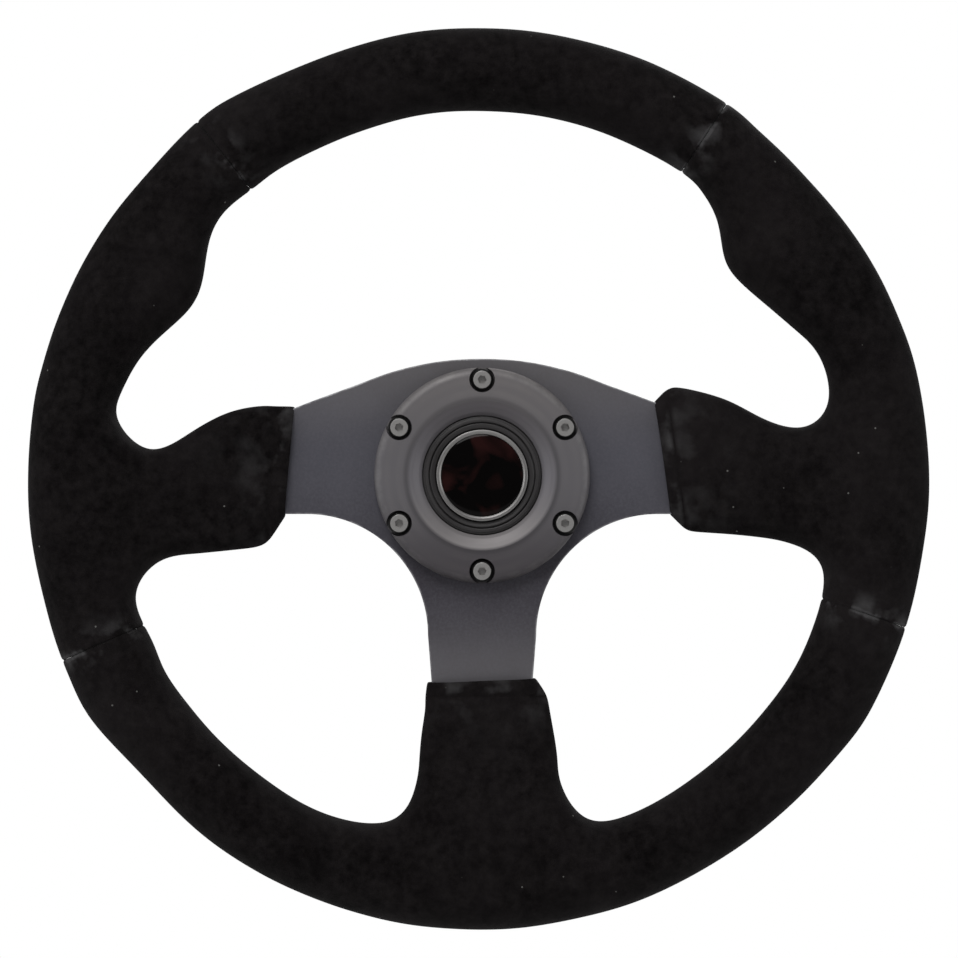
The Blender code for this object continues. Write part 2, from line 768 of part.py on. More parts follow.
def horn_cup():
    """The cup behind the bezel, which holds the contacts and the return spring."""
    front = PLATE_FRONT_Y - 1.5 * MM
    profile = [
        (HORN_FLANGE_RADIUS, front),
        (HORN_FLANGE_RADIUS, PLATE_FRONT_Y - GAP),
        (23.5 * MM, PLATE_FRONT_Y - GAP),
        (23.5 * MM, CUP_REAR_Y),
        (0, CUP_REAR_Y),
        (0, CUP_FLOOR_Y),
        (21.3 * MM, CUP_FLOOR_Y),
        (21.3 * MM, front),
    ]
    keep(turned(profile, 24), "horn_cup", black_plastic())


def horn_cap():
    """The moving cap. A flange under the bezel stops it from coming out."""
    profile = [
        (0, CAP_REAR_Y),
        (CAP_FLANGE_RADIUS, CAP_REAR_Y),
        (CAP_FLANGE_RADIUS, CAP_FLANGE_FRONT_Y),
        (CAP_RADIUS, CAP_FLANGE_FRONT_Y),
        (CAP_RADIUS, CAP_FRONT_Y),
        (0, CAP_FRONT_Y),
    ]
    return keep(turned(profile, 24), "horn_cap", black_plastic())


def horn_trim_ring():
    """The satin ring round the disc."""
    section = [(17.5, 0), (17.5, 0.7), (17.1, 1.2), (16.4, 1.2), (16.1, 0.8), (16.1, 0)]
    profile = [(radius * MM, TRIM_REAR_Y - height * MM) for radius, height in section]
    return keep(turned(profile, 24), "horn_trim_ring", satin_trim())


def horn_disc():
    """The plain glossy disc in the middle, slightly domed."""
    section = [(0, 0), (15.8, 0), (15.8, 0.7), (12, 1.2), (7, 1.6), (0, 1.8)]
    profile = [(radius * MM, TRIM_REAR_Y - height * MM) for radius, height in section]
    return keep(turned(profile, 24), "horn_disc", gloss_black())


def horn_contact_disc():
    """The brass disc under the cap, which closes the circuit when the cap is pressed."""
    front = CAP_REAR_Y + GAP
    rear = front + MM
    profile = [(0, rear), (12 * MM, rear), (12 * MM, front), (0, front)]
    return keep(turned(profile, 20), "horn_contact_disc", brass())


def horn_return_spring():
    """The coil spring that pushes the cap back out."""
    front, rear = CAP_REAR_Y + GAP, CUP_FLOOR_Y - GAP
    bm = coil(HORN_SPRING_RADIUS, HORN_SPRING_WIRE, front, rear, 2.5, 12, 4)
    keep(bm, "horn_return_spring", bright_steel(), 60)


def horn_fixed_contact():
    """The brass stud on the cup's floor."""
    section = [(0, 0), (4, 0), (4, 0.7), (2.5, 1.8), (0, 1.8)]
    profile = [(radius * MM, CUP_FLOOR_Y - GAP - height * MM) for radius, height in section]
    keep(turned(profile, 16), "horn_fixed_contact", brass())


def horn_terminals():
    """Two spade terminals riveted to the back of the cup."""
    for i, side in enumerate((-1, 1), 1):
        bm = bmesh.new()
        middle = side * 14 * MM
        foot = CUP_REAR_Y + GAP
        points = [(-4, 0), (4, 0), (4, 1), (0.4, 1), (0.4, 5.5), (-0.4, 5.5), (-0.4, 1), (-4, 1)]
        corners = [bm.verts.new((middle + x * MM, foot + y * MM, -3.15 * MM)) for x, y in points]
        face = bm.faces.new(corners)
        made = bmesh.ops.extrude_face_region(bm, geom=[face])["geom"]
        moved = [item for item in made if isinstance(item, bmesh.types.BMVert)]
        bmesh.ops.translate(bm, verts=moved, vec=(0, 0, 6.3 * MM))
        keep(bm, f"horn_terminal_{i}", brass(), 0)


# ---------------------------------------------------------------- coupler


def coupler_body():
    """Flange and barrel in one turned piece, open from end to end."""
    groove_floor = BARREL_RADIUS - SNAP_GROOVE_DEPTH
    profile = [
        (FLANGE_RADIUS, FLANGE_REAR_Y - 0.5 * MM),
        (FLANGE_RADIUS, FLANGE_FRONT_Y),
        (FRONT_RECESS_RADIUS, FLANGE_FRONT_Y),
        (FRONT_RECESS_RADIUS, FRONT_RECESS_FLOOR),
        (SPLINE_SEAT_RADIUS, FRONT_RECESS_FLOOR),
        (SPLINE_SEAT_RADIUS, -PILOT_DEPTH),
        (PILOT_RADIUS, -PILOT_DEPTH),
        (PILOT_RADIUS, -1 * MM),
        (PILOT_RADIUS + 1 * MM, 0),
        (BARREL_RADIUS - 0.4 * MM, 0),
        (BARREL_RADIUS, -0.4 * MM),
        (BARREL_RADIUS, SNAP_GROOVE[1]),
        (groove_floor, SNAP_GROOVE[1]),
        (groove_floor, SNAP_GROOVE[0]),
        (BARREL_RADIUS, SNAP_GROOVE[0]),
        (BARREL_RADIUS, SHOULDER_REAR_Y),
        (SHOULDER_RADIUS - 0.5 * MM, SHOULDER_REAR_Y),
        (SHOULDER_RADIUS, SHOULDER_REAR_Y - 0.5 * MM),
        (SHOULDER_RADIUS, FLANGE_REAR_Y),
        (FLANGE_RADIUS - 0.5 * MM, FLANGE_REAR_Y),
    ]
    body = keep(turned(profile, 32), "coupler_body", dark_anodised())
    screws = []
    for x, z in on_circle(BOLT_CIRCLE_RADIUS, BOLT_COUNT, 30):
        start = (x, FLANGE_REAR_Y + MM, z)
        screws.append(rod(BOLT_HOLE_RADIUS, start, (x, FLANGE_FRONT_Y - MM, z), 8))
    cut(body, joined(screws), "flange_holes")
    seats = []
    for x, z in on_circle(1, BALL_COUNT, 0):
        start = Vector((x, 0, z)) * (PILOT_RADIUS - 2 * MM) + Vector((0, BALL_Y, 0))
        end = Vector((x, 0, z)) * (BARREL_RADIUS + 2 * MM) + Vector((0, BALL_Y, 0))
        seats.append(rod(BALL_RADIUS + GAP, start, end, 8))
    cut(body, joined(seats), "ball_seats")


def locking_balls():
    """Six steel balls that lock into a groove of the column's half."""
    for i, (x, z) in enumerate(on_circle(BALL_REST_RADIUS, BALL_COUNT, 0), 1):
        bm = bmesh.new()
        bmesh.ops.create_icosphere(bm, subdivisions=2, radius=BALL_RADIUS)
        ball = keep(bm, f"locking_ball_{i}", bright_steel(), 60)
        ball.location = (x, BALL_Y, z)


def release_collar():
    """The sliding collar. Pulled towards the driver, its cone lets the balls move out."""
    bore = BARREL_RADIUS + GAP
    slope = BALL_TRAVEL / COLLAR_TRAVEL
    mouth = bore + slope * (COLLAR_REAR_Y - BALL_Y)
    profile = [
        (COLLAR_LIP_RADIUS - 0.6 * MM, COLLAR_REAR_Y),
        (COLLAR_LIP_RADIUS, COLLAR_REAR_Y - 0.6 * MM),
        (COLLAR_LIP_RADIUS, COLLAR_REAR_Y - 3.4 * MM),
        (COLLAR_RADIUS, COLLAR_REAR_Y - 6 * MM),
        (COLLAR_RADIUS, COLLAR_FRONT_Y + 0.6 * MM),
        (COLLAR_RADIUS - 0.6 * MM, COLLAR_FRONT_Y),
        (COLLAR_SPRING_BORE_RADIUS, COLLAR_FRONT_Y),
        (COLLAR_SPRING_BORE_RADIUS, COLLAR_SPRING_SEAT_Y),
        (bore, COLLAR_SPRING_SEAT_Y),
        (bore, BALL_Y),
        (mouth, COLLAR_REAR_Y),
    ]
    return keep(turned(profile, 32), "release_collar", grey_anodised())


def collar_spring():
    """The coil spring between the shoulder and the collar, round the barrel."""
    front, rear = SHOULDER_REAR_Y + GAP, COLLAR_SPRING_SEAT_Y - GAP
    bm = coil(COLLAR_SPRING_RADIUS, COLLAR_SPRING_WIRE, front, rear, 4.5, 12, 4)
    keep(bm, "collar_spring", bright_steel(), 60)


def snap_ring():
    """The circlip that keeps the collar on the barrel, with its gap at the bottom."""
    bm = bmesh.new()
    inner, outer = BARREL_RADIUS - SNAP_GROOVE_DEPTH + GAP, SNAP_RING_RADIUS
    rear, front = SNAP_GROOVE[1] - GAP, SNAP_GROOVE[0] + GAP
    section = [(inner, rear), (outer, rear), (outer, front), (inner, front)]
    face = bm.faces.new([bm.verts.new((radius, y, 0)) for radius, y in section])
    bmesh.ops.rotate(bm, verts=bm.verts, matrix=Matrix.Rotation(math.radians(105), 3, "Y"))
    bmesh.ops.spin(
        bm, geom=[face], axis=(0, 1, 0), cent=(0, 0, 0), angle=math.radians(330), steps=33
    )
    keep(bm, "snap_ring", bright_steel())


def spline_sleeve():
    """The steel sleeve with internal splines, pressed into the body from the front."""
    outer = SPLINE_SEAT_RADIUS - GAP
    root, crest = SPLINE_ROOT_RADIUS, SPLINE_CREST_RADIUS
    step = 360 / SPLINE_COUNT
    teeth = []
    for i in range(SPLINE_COUNT):
        for part, radius in ((0, root), (0.42, root), (0.54, crest), (0.88, crest)):
            teeth += arc((0, 0), radius, step * (i + part), 0, 1)[:1]
    outlines = [circle((0, 0), outer, 36), teeth]
    bm = plate_from(outlines, -PILOT_DEPTH - GAP, FRONT_RECESS_FLOOR + GAP)
    keep(bm, "spline_sleeve", bright_steel(), 25)


def contact_insulator():
    """The plastic disc in front of the splines, which carries the horn's sliding contact."""
    section = [(25.6, 0), (25.6, 2.7), (8, 2.7), (8, 7.7), (4.2, 7.7), (4.2, 1.7), (2.7, 1.7), (2.7, 0)]
    profile = [(radius * MM, INSULATOR_REAR_Y - depth * MM) for radius, depth in section]
    keep(turned(profile, 20), "contact_insulator", black_plastic())


def contact_plunger():
    """The sprung brass pin that meets the column's contact."""
    section = [(0, 3.7), (3.8, 3.7), (3.8, 2), (2.4, 2), (2.4, -5.3), (1.6, -6.3), (0, -6.3)]
    profile = [(radius * MM, INSULATOR_REAR_Y - depth * MM) for radius, depth in section]
    return keep(turned(profile, 16), "contact_plunger", brass())


def plunger_spring():
    """The small spring behind the pin."""
    rear = INSULATOR_REAR_Y - 4 * MM
    bm = coil(PLUNGER_SPRING_RADIUS, PLUNGER_SPRING_WIRE, rear - 3.6 * MM, rear, 3, 8, 4)
    keep(bm, "plunger_spring", bright_steel(), 60)


def contact_terminal():
    """The brass cap over the pin's spring, with a tab for the horn's wire."""
    rear = INSULATOR_REAR_Y - 8 * MM
    front = rear - MM
    profile = [(0, rear), (6 * MM, rear), (6 * MM, front), (0, front)]
    keep(turned(profile, 16), "contact_terminal", brass())


# ---------------------------------------------------------------- assembly


def wheel():
    skin = grip_skin()
    suede_panels(skin)
    grip_foam(skin)
    bpy.data.meshes.remove(skin)
    rim_hoop()
    spoke_plate()
    horn_retainer_ring()
    clamp_bolts()


def horn_button():
    horn_bezel()
    horn_cup()
    pressed = (horn_cap(), horn_trim_ring(), horn_disc(), horn_contact_disc())
    for piece in pressed:
        axis_empty(f"{piece.name}_axis", (0, CAP_FLANGE_FRONT_Y, 0), piece)
    horn_return_spring()
    horn_fixed_contact()
    horn_terminals()


def coupler():
    coupler_body()
    spline_sleeve()
    locking_balls()
    axis_empty("collar_axis", (0, COLLAR_REAR_Y, 0), release_collar())
    collar_spring()
    snap_ring()
    contact_insulator()
    axis_empty("plunger_axis", (0, FRONT_RECESS_FLOOR, 0), contact_plunger())
    plunger_spring()
    contact_terminal()


clear_scene()
wheel()
horn_button()
coupler()
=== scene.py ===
"""Quick release steering wheel: the looks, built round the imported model."""

import math

import bmesh
import bpy
from mathutils import Matrix, Vector, noise
from mathutils.bvhtree import BVHTree


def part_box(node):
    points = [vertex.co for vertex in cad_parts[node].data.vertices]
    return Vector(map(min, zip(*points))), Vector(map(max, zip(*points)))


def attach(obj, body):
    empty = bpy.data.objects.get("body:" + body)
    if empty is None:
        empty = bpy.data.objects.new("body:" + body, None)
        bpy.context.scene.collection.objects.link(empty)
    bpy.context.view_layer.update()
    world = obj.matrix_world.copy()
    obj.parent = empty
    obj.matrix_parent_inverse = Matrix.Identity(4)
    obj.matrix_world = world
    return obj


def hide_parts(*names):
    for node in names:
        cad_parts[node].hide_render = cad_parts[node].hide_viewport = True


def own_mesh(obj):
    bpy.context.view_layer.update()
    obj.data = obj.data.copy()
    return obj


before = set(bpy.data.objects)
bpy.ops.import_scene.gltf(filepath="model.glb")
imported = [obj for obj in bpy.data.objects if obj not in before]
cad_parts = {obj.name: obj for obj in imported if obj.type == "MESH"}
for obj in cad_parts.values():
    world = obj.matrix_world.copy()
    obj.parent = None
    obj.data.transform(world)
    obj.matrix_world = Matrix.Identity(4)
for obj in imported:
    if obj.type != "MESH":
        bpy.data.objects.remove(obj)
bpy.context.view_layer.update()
scene = bpy.context.scene
MM = 0.001

# ---- Studio. A pale floor well below the wheel, a white surround, and soft lamps above and at
# both sides. The camera looks straight at the wheel from the driver's side.
FLOOR_Z = -450 * MM
FRAME_WIDTH = 372.2 * MM  # what the camera takes in at the rim
LENS = 120
SENSOR = 36
rim_y = sum(corner.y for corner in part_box("spoke_plate")) / 2

camera_data = bpy.data.cameras.new("camera")
camera_data.lens = LENS
camera_data.sensor_width = SENSOR
camera_data.clip_start = 0.05
camera = bpy.data.objects.new("camera", camera_data)
camera.location = (-1.2 * MM, rim_y - FRAME_WIDTH * LENS / SENSOR, -1.4 * MM)
camera.rotation_euler = (math.radians(90), 0, 0)
scene.collection.objects.link(camera)
scene.camera = camera
scene.view_settings.view_transform = "Standard"

for name, place, size, power in (
    ("key_lamp", (-0.35, -1.1, 1.25), 1.1, 24),
    ("left_lamp", (-1.5, -0.7, 0.2), 0.9, 8),
    ("right_lamp", (1.5, -0.7, 0.1), 0.9, 8),
    ("rear_lamp", (0.6, 1.3, 1.1), 1.2, 16),
):
    lamp_data = bpy.data.lights.new(name, "AREA")
    lamp_data.shape = "DISK"
    lamp_data.size = size
    lamp_data.energy = power
    lamp = bpy.data.objects.new(name, lamp_data)
    lamp.location = place
    lamp.rotation_euler = (-Vector(place)).to_track_quat("-Z", "Y").to_euler()
    scene.collection.objects.link(lamp)

world = bpy.data.worlds.new("white_surround")
scene.world = world
world.use_nodes = True
tree = world.node_tree
surround = tree.nodes["Background"]
surround.inputs["Color"].default_value = (1, 1, 1, 1)
seen = tree.nodes.new("ShaderNodeLightPath")
level = tree.nodes.new("ShaderNodeMapRange")  # full white where it is seen, dimmer as a light
level.inputs["To Min"].default_value = 0.24
level.inputs["To Max"].default_value = 1.0
tree.links.new(seen.outputs["Is Camera Ray"], level.inputs["Value"])
tree.links.new(level.outputs["Result"], surround.inputs["Strength"])

bm = bmesh.new()
bmesh.ops.create_circle(bm, cap_ends=True, segments=64, radius=1.3)
bmesh.ops.translate(bm, verts=bm.verts, vec=(0, 0, FLOOR_Z))
floor_mesh = bpy.data.meshes.new("floor")
bm.to_mesh(floor_mesh)
bm.free()
floor = bpy.data.objects.new("floor", floor_mesh)
scene.collection.objects.link(floor)
paper = bpy.data.materials.new("pale_paper")
paper.use_nodes = True
paper.node_tree.nodes["Principled BSDF"].inputs["Base Color"].default_value = (0.8, 0.8, 0.8, 1)
paper.node_tree.nodes["Principled BSDF"].inputs["Roughness"].default_value = 0.9
floor_mesh.materials.append(paper)


# ---- Suede grip. Black suede cut in four panels, wrapped over the moulded grip, sewn to each
# other across the rim, laced behind its inner edge, and tucked in at the mouth of each sleeve.
# The paler colour of rubbed suede, also used as a painted highlight on the hem's ridge by each sleeve's
# mouth.
SUEDE_RUB_AND_HIGHLIGHT = (0.04, 0.039, 0.04)
RIM_CENTRE = Vector((-1.4, -1.4)) * MM  # x and z
RIM_INNER = 143
RIM_MIDDLE = 159
RIM_HALF_DEPTH = 14.5 * MM
CAGE_SWELL = 1.2
SKIN_LEVELS = 4
HIDE_THICKNESS = 0.8 * MM
SEAM_ANGLES = (-19.2, 56.5, 128.2, 203.6)
RIM_SECTIONS = {  # degrees, inner and outer radius in millimetres
    "right_root": ((-16.5, 143, 175.4), (-6, 143, 175), (4, 143, 175), (13.5, 143, 175)),
    "top_arc": (
        (19.5, 140.8, 174.9), (25, 136.2, 174.6), (31, 130.6, 174.1), (37, 127.2, 173.4),
        (42, 128.7, 173), (47, 136.4, 173.2), (52, 141.3, 173.9), (58, 142.8, 174.8), (72, 143, 175),
        (88, 143, 175), (104, 143, 175), (120, 143, 175.6), (127, 143, 176.8), (133, 143.4, 175.6),
        (138.5, 139.6, 175), (144, 132.4, 175), (149, 130.3, 175), (154, 133.6, 175), (160, 139.2, 175),
        (166, 142.6, 175),
    ),
    "left_root": ((171.5, 143, 175), (181, 143, 175), (190, 143, 175), (199.5, 143, 175.6)),
    "left_arc": (
        (206, 141.6, 176.6), (211.5, 143, 177), (218, 143, 174.8), (225, 143, 174.1), (234, 143, 174.9),
        (245, 143, 175),
    ),
    "bottom_root": ((256, 143, 175), (266, 143, 175), (276, 143, 175), (286, 143, 175)),
    "right_arc": (
        (295, 143, 175), (305, 143, 175), (315, 143, 175.4), (323, 143, 176.1), (329, 143, 176.7),
        (336, 142.2, 176),
    ),
}
SLEEVES = {  # the (x, z) of both edges in millimetres, and half the depth, from the rim inwards
    "right_root": (
        ((121.7, -27.3), (124, 18.8), 10.5),
        ((108.5, -24.2), (108.1, 22.7), 8),
        ((95.2, -22.8), (94.2, 29.6), 7),
        ((84, -21.1), (77.8, 33), 6.4),
        ((73.6, -15.6), (67.2, 28.8), 5.8),
    ),
    "left_root": (
        ((-128.9, 10.2), (-126.1, -34.1), 10.5),
        ((-112.7, 17), (-112, -30.6), 8),
        ((-98.6, 24.5), (-97.5, -29), 7),
        ((-86, 26.9), (-88, -26.3), 6.4),
        ((-73.2, 26.8), (-76.9, -16.6), 5.8),
    ),
    "bottom_root": (
        ((-26, -121), (31, -121), 10.5),
        ((-24.4, -110), (29.2, -110), 8),
        ((-23.5, -100), (27.9, -100), 7),
        ((-22.3, -91), (25.8, -91), 6.4),
        ((-21.5, -80.7), (21.2, -79.2), 5.8),
    ),
}
POCKETS = {  # the (x, z) where a window's edge turns from the rim into a sleeve
    -16.5: (132.4, -37.4),
    13.5: (134.4, 28.5),
    171.5: (-141.2, 21),
    199.5: (-134.5, -47.4),
    256: (-36, -134.3),
    286: (41, -133.4),
}
SLEEVE_EDGE = 8 * MM
HEM = ((0.66, 0), (0.5, 1.4), (0.38, 0))  # share of the last stretch, and thinning in mm
SLEEVE_RUB_AND_HIGHLIGHT = (0, 0, 0.1, 0.3, 0.5, 0, 1, 0.6)  # by section, from the rim to the lip: rubbed suede, with the hem's fold left dark as painted shade and the ridge beside it made palest as a painted highlight
LIP = ((0, 0, 0), (-0.8, 0.8, 1.3), (1.2, 1.7, 3), (6, 2, 3.3))  # mm: back, pinch, thinning


def on_rim(radius, degrees):
    """A point of the rim's plane, as (x, z)."""
    angle = math.radians(degrees)
    return RIM_CENTRE + Vector((math.cos(angle), math.sin(angle))) * radius * MM


def through(points, closed):
    """Control points whose smooth curve passes through the given points."""
    control = [point.copy() for point in points]
    for _ in range(16):
        for i, point in enumerate(points):
            if closed or 0 < i < len(points) - 1:
                after = control[(i + 1) % len(points)]
                control[i] = (6 * point - control[i - 1] - after) / 4
    return control


def edge_point(key):
    """Where a window's edge passes, by rim angle or by (sleeve, station, side)."""
    if isinstance(key, tuple):
        root, station, side = key
        return Vector(SLEEVES[root][station][side]) * MM
    if key in POCKETS:
        return Vector(POCKETS[key]) * MM
    inner = next(i for stretch in RIM_SECTIONS.values() for a, i, _ in stretch if a == key)
    return on_rim(inner, key)


def window_edges():
    order = list(RIM_SECTIONS)
    controls = {}
    for before, arc_name in zip(order[::2], order[1::2]):
        after = order[(order.index(arc_name) + 1) % len(order)]
        stations = range(len(SLEEVES[before]))
        keys = [(before, i, 1) for i in reversed(stations)]
        keys += [RIM_SECTIONS[before][-1][0]]
        keys += [section[0] for section in RIM_SECTIONS[arc_name]]
        keys += [RIM_SECTIONS[after][0][0]]
        keys += [(after, i, 0) for i in stations]
        controls.update(zip(keys, through([edge_point(key) for key in keys], closed=False)))
    return controls


def rim_corner(outer, inner, row):
    """One of the six corners of a rim section. Rows 0 and 3 are its outer and inner edges."""
    angle = math.radians(60 * row)
    place = (outer + inner) / 2 + (outer - inner) / 2 * CAGE_SWELL * math.cos(angle)
    return Vector((place.x, rim_y - RIM_HALF_DEPTH * CAGE_SWELL * math.sin(angle), place.y))


def sleeve_corner(first, second, half_depth, row, column):
    """A corner of a sleeve's section. Row 3 is its edge, and rows 2 and 4 its front and back."""
    reach = SLEEVE_EDGE * min(1, half_depth / (5 * MM))
    along = (second - first).normalized()
    near = first + along * reach * 2 / 3
    far = second - along * reach * 2 / 3
    place = near.lerp(far, column / 3)
    if row == 3 and column in (0, 3):
        place += along * reach * (1 if column else -1)
    return Vector((place.x, rim_y + {2: -1, 3: 0, 4: 1}[row] * half_depth, place.y))


def sleeve_sections(root, edges):
    """Each section of a sleeve from the rim to its mouth, then round the lip and back inside."""
    stations = SLEEVES[root]
    sections = [(edges[(root, i, 0)], edges[(root, i, 1)], s[2] * MM) for i, s in enumerate(stations)]
    first, second, depth = sections[-1]
    outwards = (first + second - sections[-2][0] - sections[-2][1]).normalized()
    along = (second - first).normalized()
    turned_in = []
    for share, thinner in HEM:
        ends = []
        for mouth, before in ((first, sections[-2][0]), (second, sections[-2][1])):
            step = before - mouth
            sideways = along * along.dot(step)
            ends.append(mouth + (step - sideways) * share + sideways * share * (2 - share))
        turned_in.append((*ends, depth - thinner * MM))
    for back, pinch, thinner in LIP:
        shift = outwards * -back * MM
        a = first + shift + along * pinch * MM
        b = second + shift - along * pinch * MM
        turned_in.append((a, b, depth - thinner * MM))
    return sections[:-1] + turned_in


def grip_cage():
    """The cage of the whole grip: a ring of six-sided sections with three sleeves drawn out."""
    sections = [section for stretch in RIM_SECTIONS.values() for section in stretch]
    angles = [section[0] for section in sections]
    bm = bmesh.new()
    row = bm.verts.layers.int.new("row")
    index = bm.verts.layers.int.new("index")
    rub_and_highlight = bm.verts.layers.float.new("rub_and_highlight")
    middle = RIM_MIDDLE * MM
    upright = Matrix.Translation((middle, 0, 0)) @ Matrix.Rotation(math.radians(30), 4, "Z")
    ring = bmesh.ops.create_circle(bm, segments=6, radius=RIM_HALF_DEPTH, matrix=upright)
    for corner in ring["verts"]:
        turn = math.degrees(math.atan2(-corner.co.y, corner.co.x - middle))
        corner[row] = round(turn / 60) % 6
    geom = bm.verts[:] + bm.edges[:]
    axis = (0, 1, 0)
    steps = len(sections)
    bmesh.ops.spin(bm, geom=geom, axis=axis, cent=(0, 0, 0), angle=math.tau, steps=steps, use_merge=True)
    outer = through([on_rim(section[2], section[0]) for section in sections], closed=True)
    edges = window_edges()
    for corner in bm.verts:
        turn = math.atan2(corner.co.z, corner.co.x) / math.tau
        corner[index] = round(turn * steps) % steps
    for corner in bm.verts:
        i = corner[index]
        inner = edges.get(angles[i], on_rim(RIM_INNER, angles[i]))
        corner.co = rim_corner(outer[i], inner, corner[row])
    mouths = []
    for root in SLEEVES:
        start = angles.index(RIM_SECTIONS[root][0][0])
        columns = range(start, start + 4)
        cap = [f for f in bm.faces if all(v[index] in columns and v[row] in (2, 3, 4) for v in f.verts)]
        for station, (first, second, half_depth) in enumerate(sleeve_sections(root, edges)):
            made = bmesh.ops.extrude_face_region(bm, geom=cap)["geom"]
            bmesh.ops.delete(bm, geom=cap, context="FACES")
            cap = [item for item in made if isinstance(item, bmesh.types.BMFace)]
            for corner in {v for face in cap for v in face.verts}:
                column = corner[index] - start
                corner.co = sleeve_corner(first, second, half_depth, corner[row], column)
                corner[rub_and_highlight] = SLEEVE_RUB_AND_HIGHLIGHT[min(station, len(SLEEVE_RUB_AND_HIGHLIGHT) - 1)]
        mouths += cap
    bmesh.ops.recalc_face_normals(bm, faces=bm.faces)
    bmesh.ops.delete(bm, geom=mouths, context="FACES")
    starts = [angles.index(RIM_SECTIONS[root][0][0]) for root in SLEEVES]
    sleeve_ends = starts + [start + 3 for start in starts]
    under_sleeves = {start + i for start in starts for i in range(3)}
    for edge in bm.edges:
        a, b = edge.verts
        low, high = sorted((a[index], b[index]))
        if a[row] != 4 or b[row] != 4:
            continue
        if low == high:
            edge.seam = low in sleeve_ends and not edge.is_boundary
        else:
            edge.seam = low not in under_sleeves or high - low > 1
    return bm


cage_mesh = bpy.data.meshes.new("grip_cage")
cage_bm = grip_cage()
cage_bm.to_mesh(cage_mesh)
cage_bm.free()
cage = bpy.data.objects.new("grip_cage", cage_mesh)
scene.collection.objects.link(cage)
smooth = cage.modifiers.new("smooth", "SUBSURF")
smooth.levels = SKIN_LEVELS
smooth.render_levels = SKIN_LEVELS
skin = bpy.data.meshes.new_from_object(cage.evaluated_get(bpy.context.evaluated_depsgraph_get()))
bpy.data.objects.remove(cage, do_unlink=True)


def walk(lace):
    """The points of each laced edge, in order, from one sleeve's mouth to the next."""
    corners = dict.fromkeys(v for edge in lace for v in edge.verts)  # in the mesh's own order
    ends = [v for v in corners if sum(e.seam for e in v.link_edges) == 1]
    paths = []
    while ends:
        path = [ends.pop()]
        before = None
        while True:
            onward = [e for e in path[-1].link_edges if e.seam and e is not before]
            if not onward:
                break
            before = onward[0]
            path.append(before.other_vert(path[-1]))
        ends.remove(path[-1])
        paths.append(path)
    return paths


LACE_GROOVE = 0.7 * MM
LIP_CORNERS = 5 * 2**SKIN_LEVELS  # of each laced edge, from its end to past the sleeve's mouth
WRAP_WAVER = 0.22 * MM  # how unevenly the hide was pulled over the grip
SEAM_CUTS = (0.02, 0.7, 1.7)  # mm from the middle of a seam
SEAM_DIP = (0.55, 0.12, 0)
SEAM_REACH = 30 * MM
SEAM_TURN = 1.4 * MM  # how far a panel's edge is turned in at a seam
SEAMS_BEYOND = 120 * MM  # every seam is farther than this from the hub, and every mouth nearer
bm = bmesh.new()
bm.from_mesh(skin)
bpy.data.meshes.remove(skin)
bm.normal_update()
for corner in bm.verts:
    corner.co += corner.normal * WRAP_WAVER * noise.noise(corner.co * 38)
laced = walk([edge for edge in bm.edges if edge.seam])
lace_paths = [[(corner.co.copy(), corner.normal.copy()) for corner in path] for path in laced]
hide_tree = BVHTree.FromBMesh(bm)
for path in laced:
    for i, corner in enumerate(path):
        beyond = min(i, len(path) - 1 - i) - LIP_CORNERS
        corner.co -= corner.normal * LACE_GROOVE * min(1, max(0, beyond / 12))
rub_and_highlight = bm.verts.layers.float["rub_and_highlight"]
for degrees in SEAM_ANGLES:
    angle = math.radians(degrees)
    middle = on_rim(RIM_MIDDLE, degrees)
    middle = Vector((middle.x, rim_y, middle.y))
    across = Vector((-math.sin(angle), 0, math.cos(angle)))
    near = [face for face in bm.faces if (face.calc_center_median() - middle).length < SEAM_REACH]
    for offset in [side * cut for cut in SEAM_CUTS for side in (-1, 1)]:
        near_edges = dict.fromkeys(edge for face in near for edge in face.edges)
        near_corners = dict.fromkeys(corner for face in near for corner in face.verts)
        parts = [*near, *near_edges, *near_corners]
        place = middle + across * offset * MM
        bmesh.ops.bisect_plane(bm, geom=parts, dist=1e-7, plane_co=place, plane_no=across)
        near = [face for face in bm.faces if (face.calc_center_median() - middle).length < SEAM_REACH]
    bm.normal_update()
    dips = {}
    for corner in dict.fromkeys(v for face in near for v in face.verts):
        offset = abs((corner.co - middle).dot(across)) / MM
        handled = math.exp(-((offset / 7) ** 2))
        crease = 3 if offset < SEAM_CUTS[1] + 0.05 else 0
        corner[rub_and_highlight] = max(corner[rub_and_highlight], handled, crease)
        if offset < SEAM_CUTS[-1]:
            if offset < SEAM_CUTS[1]:
                share = (offset - SEAM_CUTS[0]) / (SEAM_CUTS[1] - SEAM_CUTS[0])
                dip = SEAM_DIP[0] + (SEAM_DIP[1] - SEAM_DIP[0]) * max(0, share)
            else:
                share = (offset - SEAM_CUTS[1]) / (SEAM_CUTS[2] - SEAM_CUTS[1])
                dip = SEAM_DIP[1] * (1 - share)
            dips[corner] = corner.normal * dip * MM
    for corner, dip in dips.items():
        corner.co -= dip
    slit = []
    for face in near:
        offset = face.calc_center_median() - middle
        if abs(offset.dot(across)) < SEAM_CUTS[0] * MM:
            slit.append(face)
    bmesh.ops.delete(bm, geom=slit, context="FACES")
whole_skin = bpy.data.meshes.new("whole_skin")
bm.to_mesh(whole_skin)
bm.free()


def node(tree, kind, inputs=None, **settings):
    """Adds a shader node. An input is given a value, or another node's output to read."""
    made = tree.nodes.new("ShaderNode" + kind)
    for name, value in settings.items():
        setattr(made, name, value)
    for name, value in (inputs or {}).items():
        if isinstance(value, bpy.types.NodeSocket):
            tree.links.new(value, made.inputs[name])
        else:
            made.inputs[name].default_value = value
    return made


def remap(tree, value, low, high, to_low=0.0, to_high=1.0):
    made = node(tree, "MapRange", {"Value": value, "From Min": low, "From Max": high})
    made.inputs["To Min"].default_value = to_low
    made.inputs["To Max"].default_value = to_high
    return made.outputs["Result"]


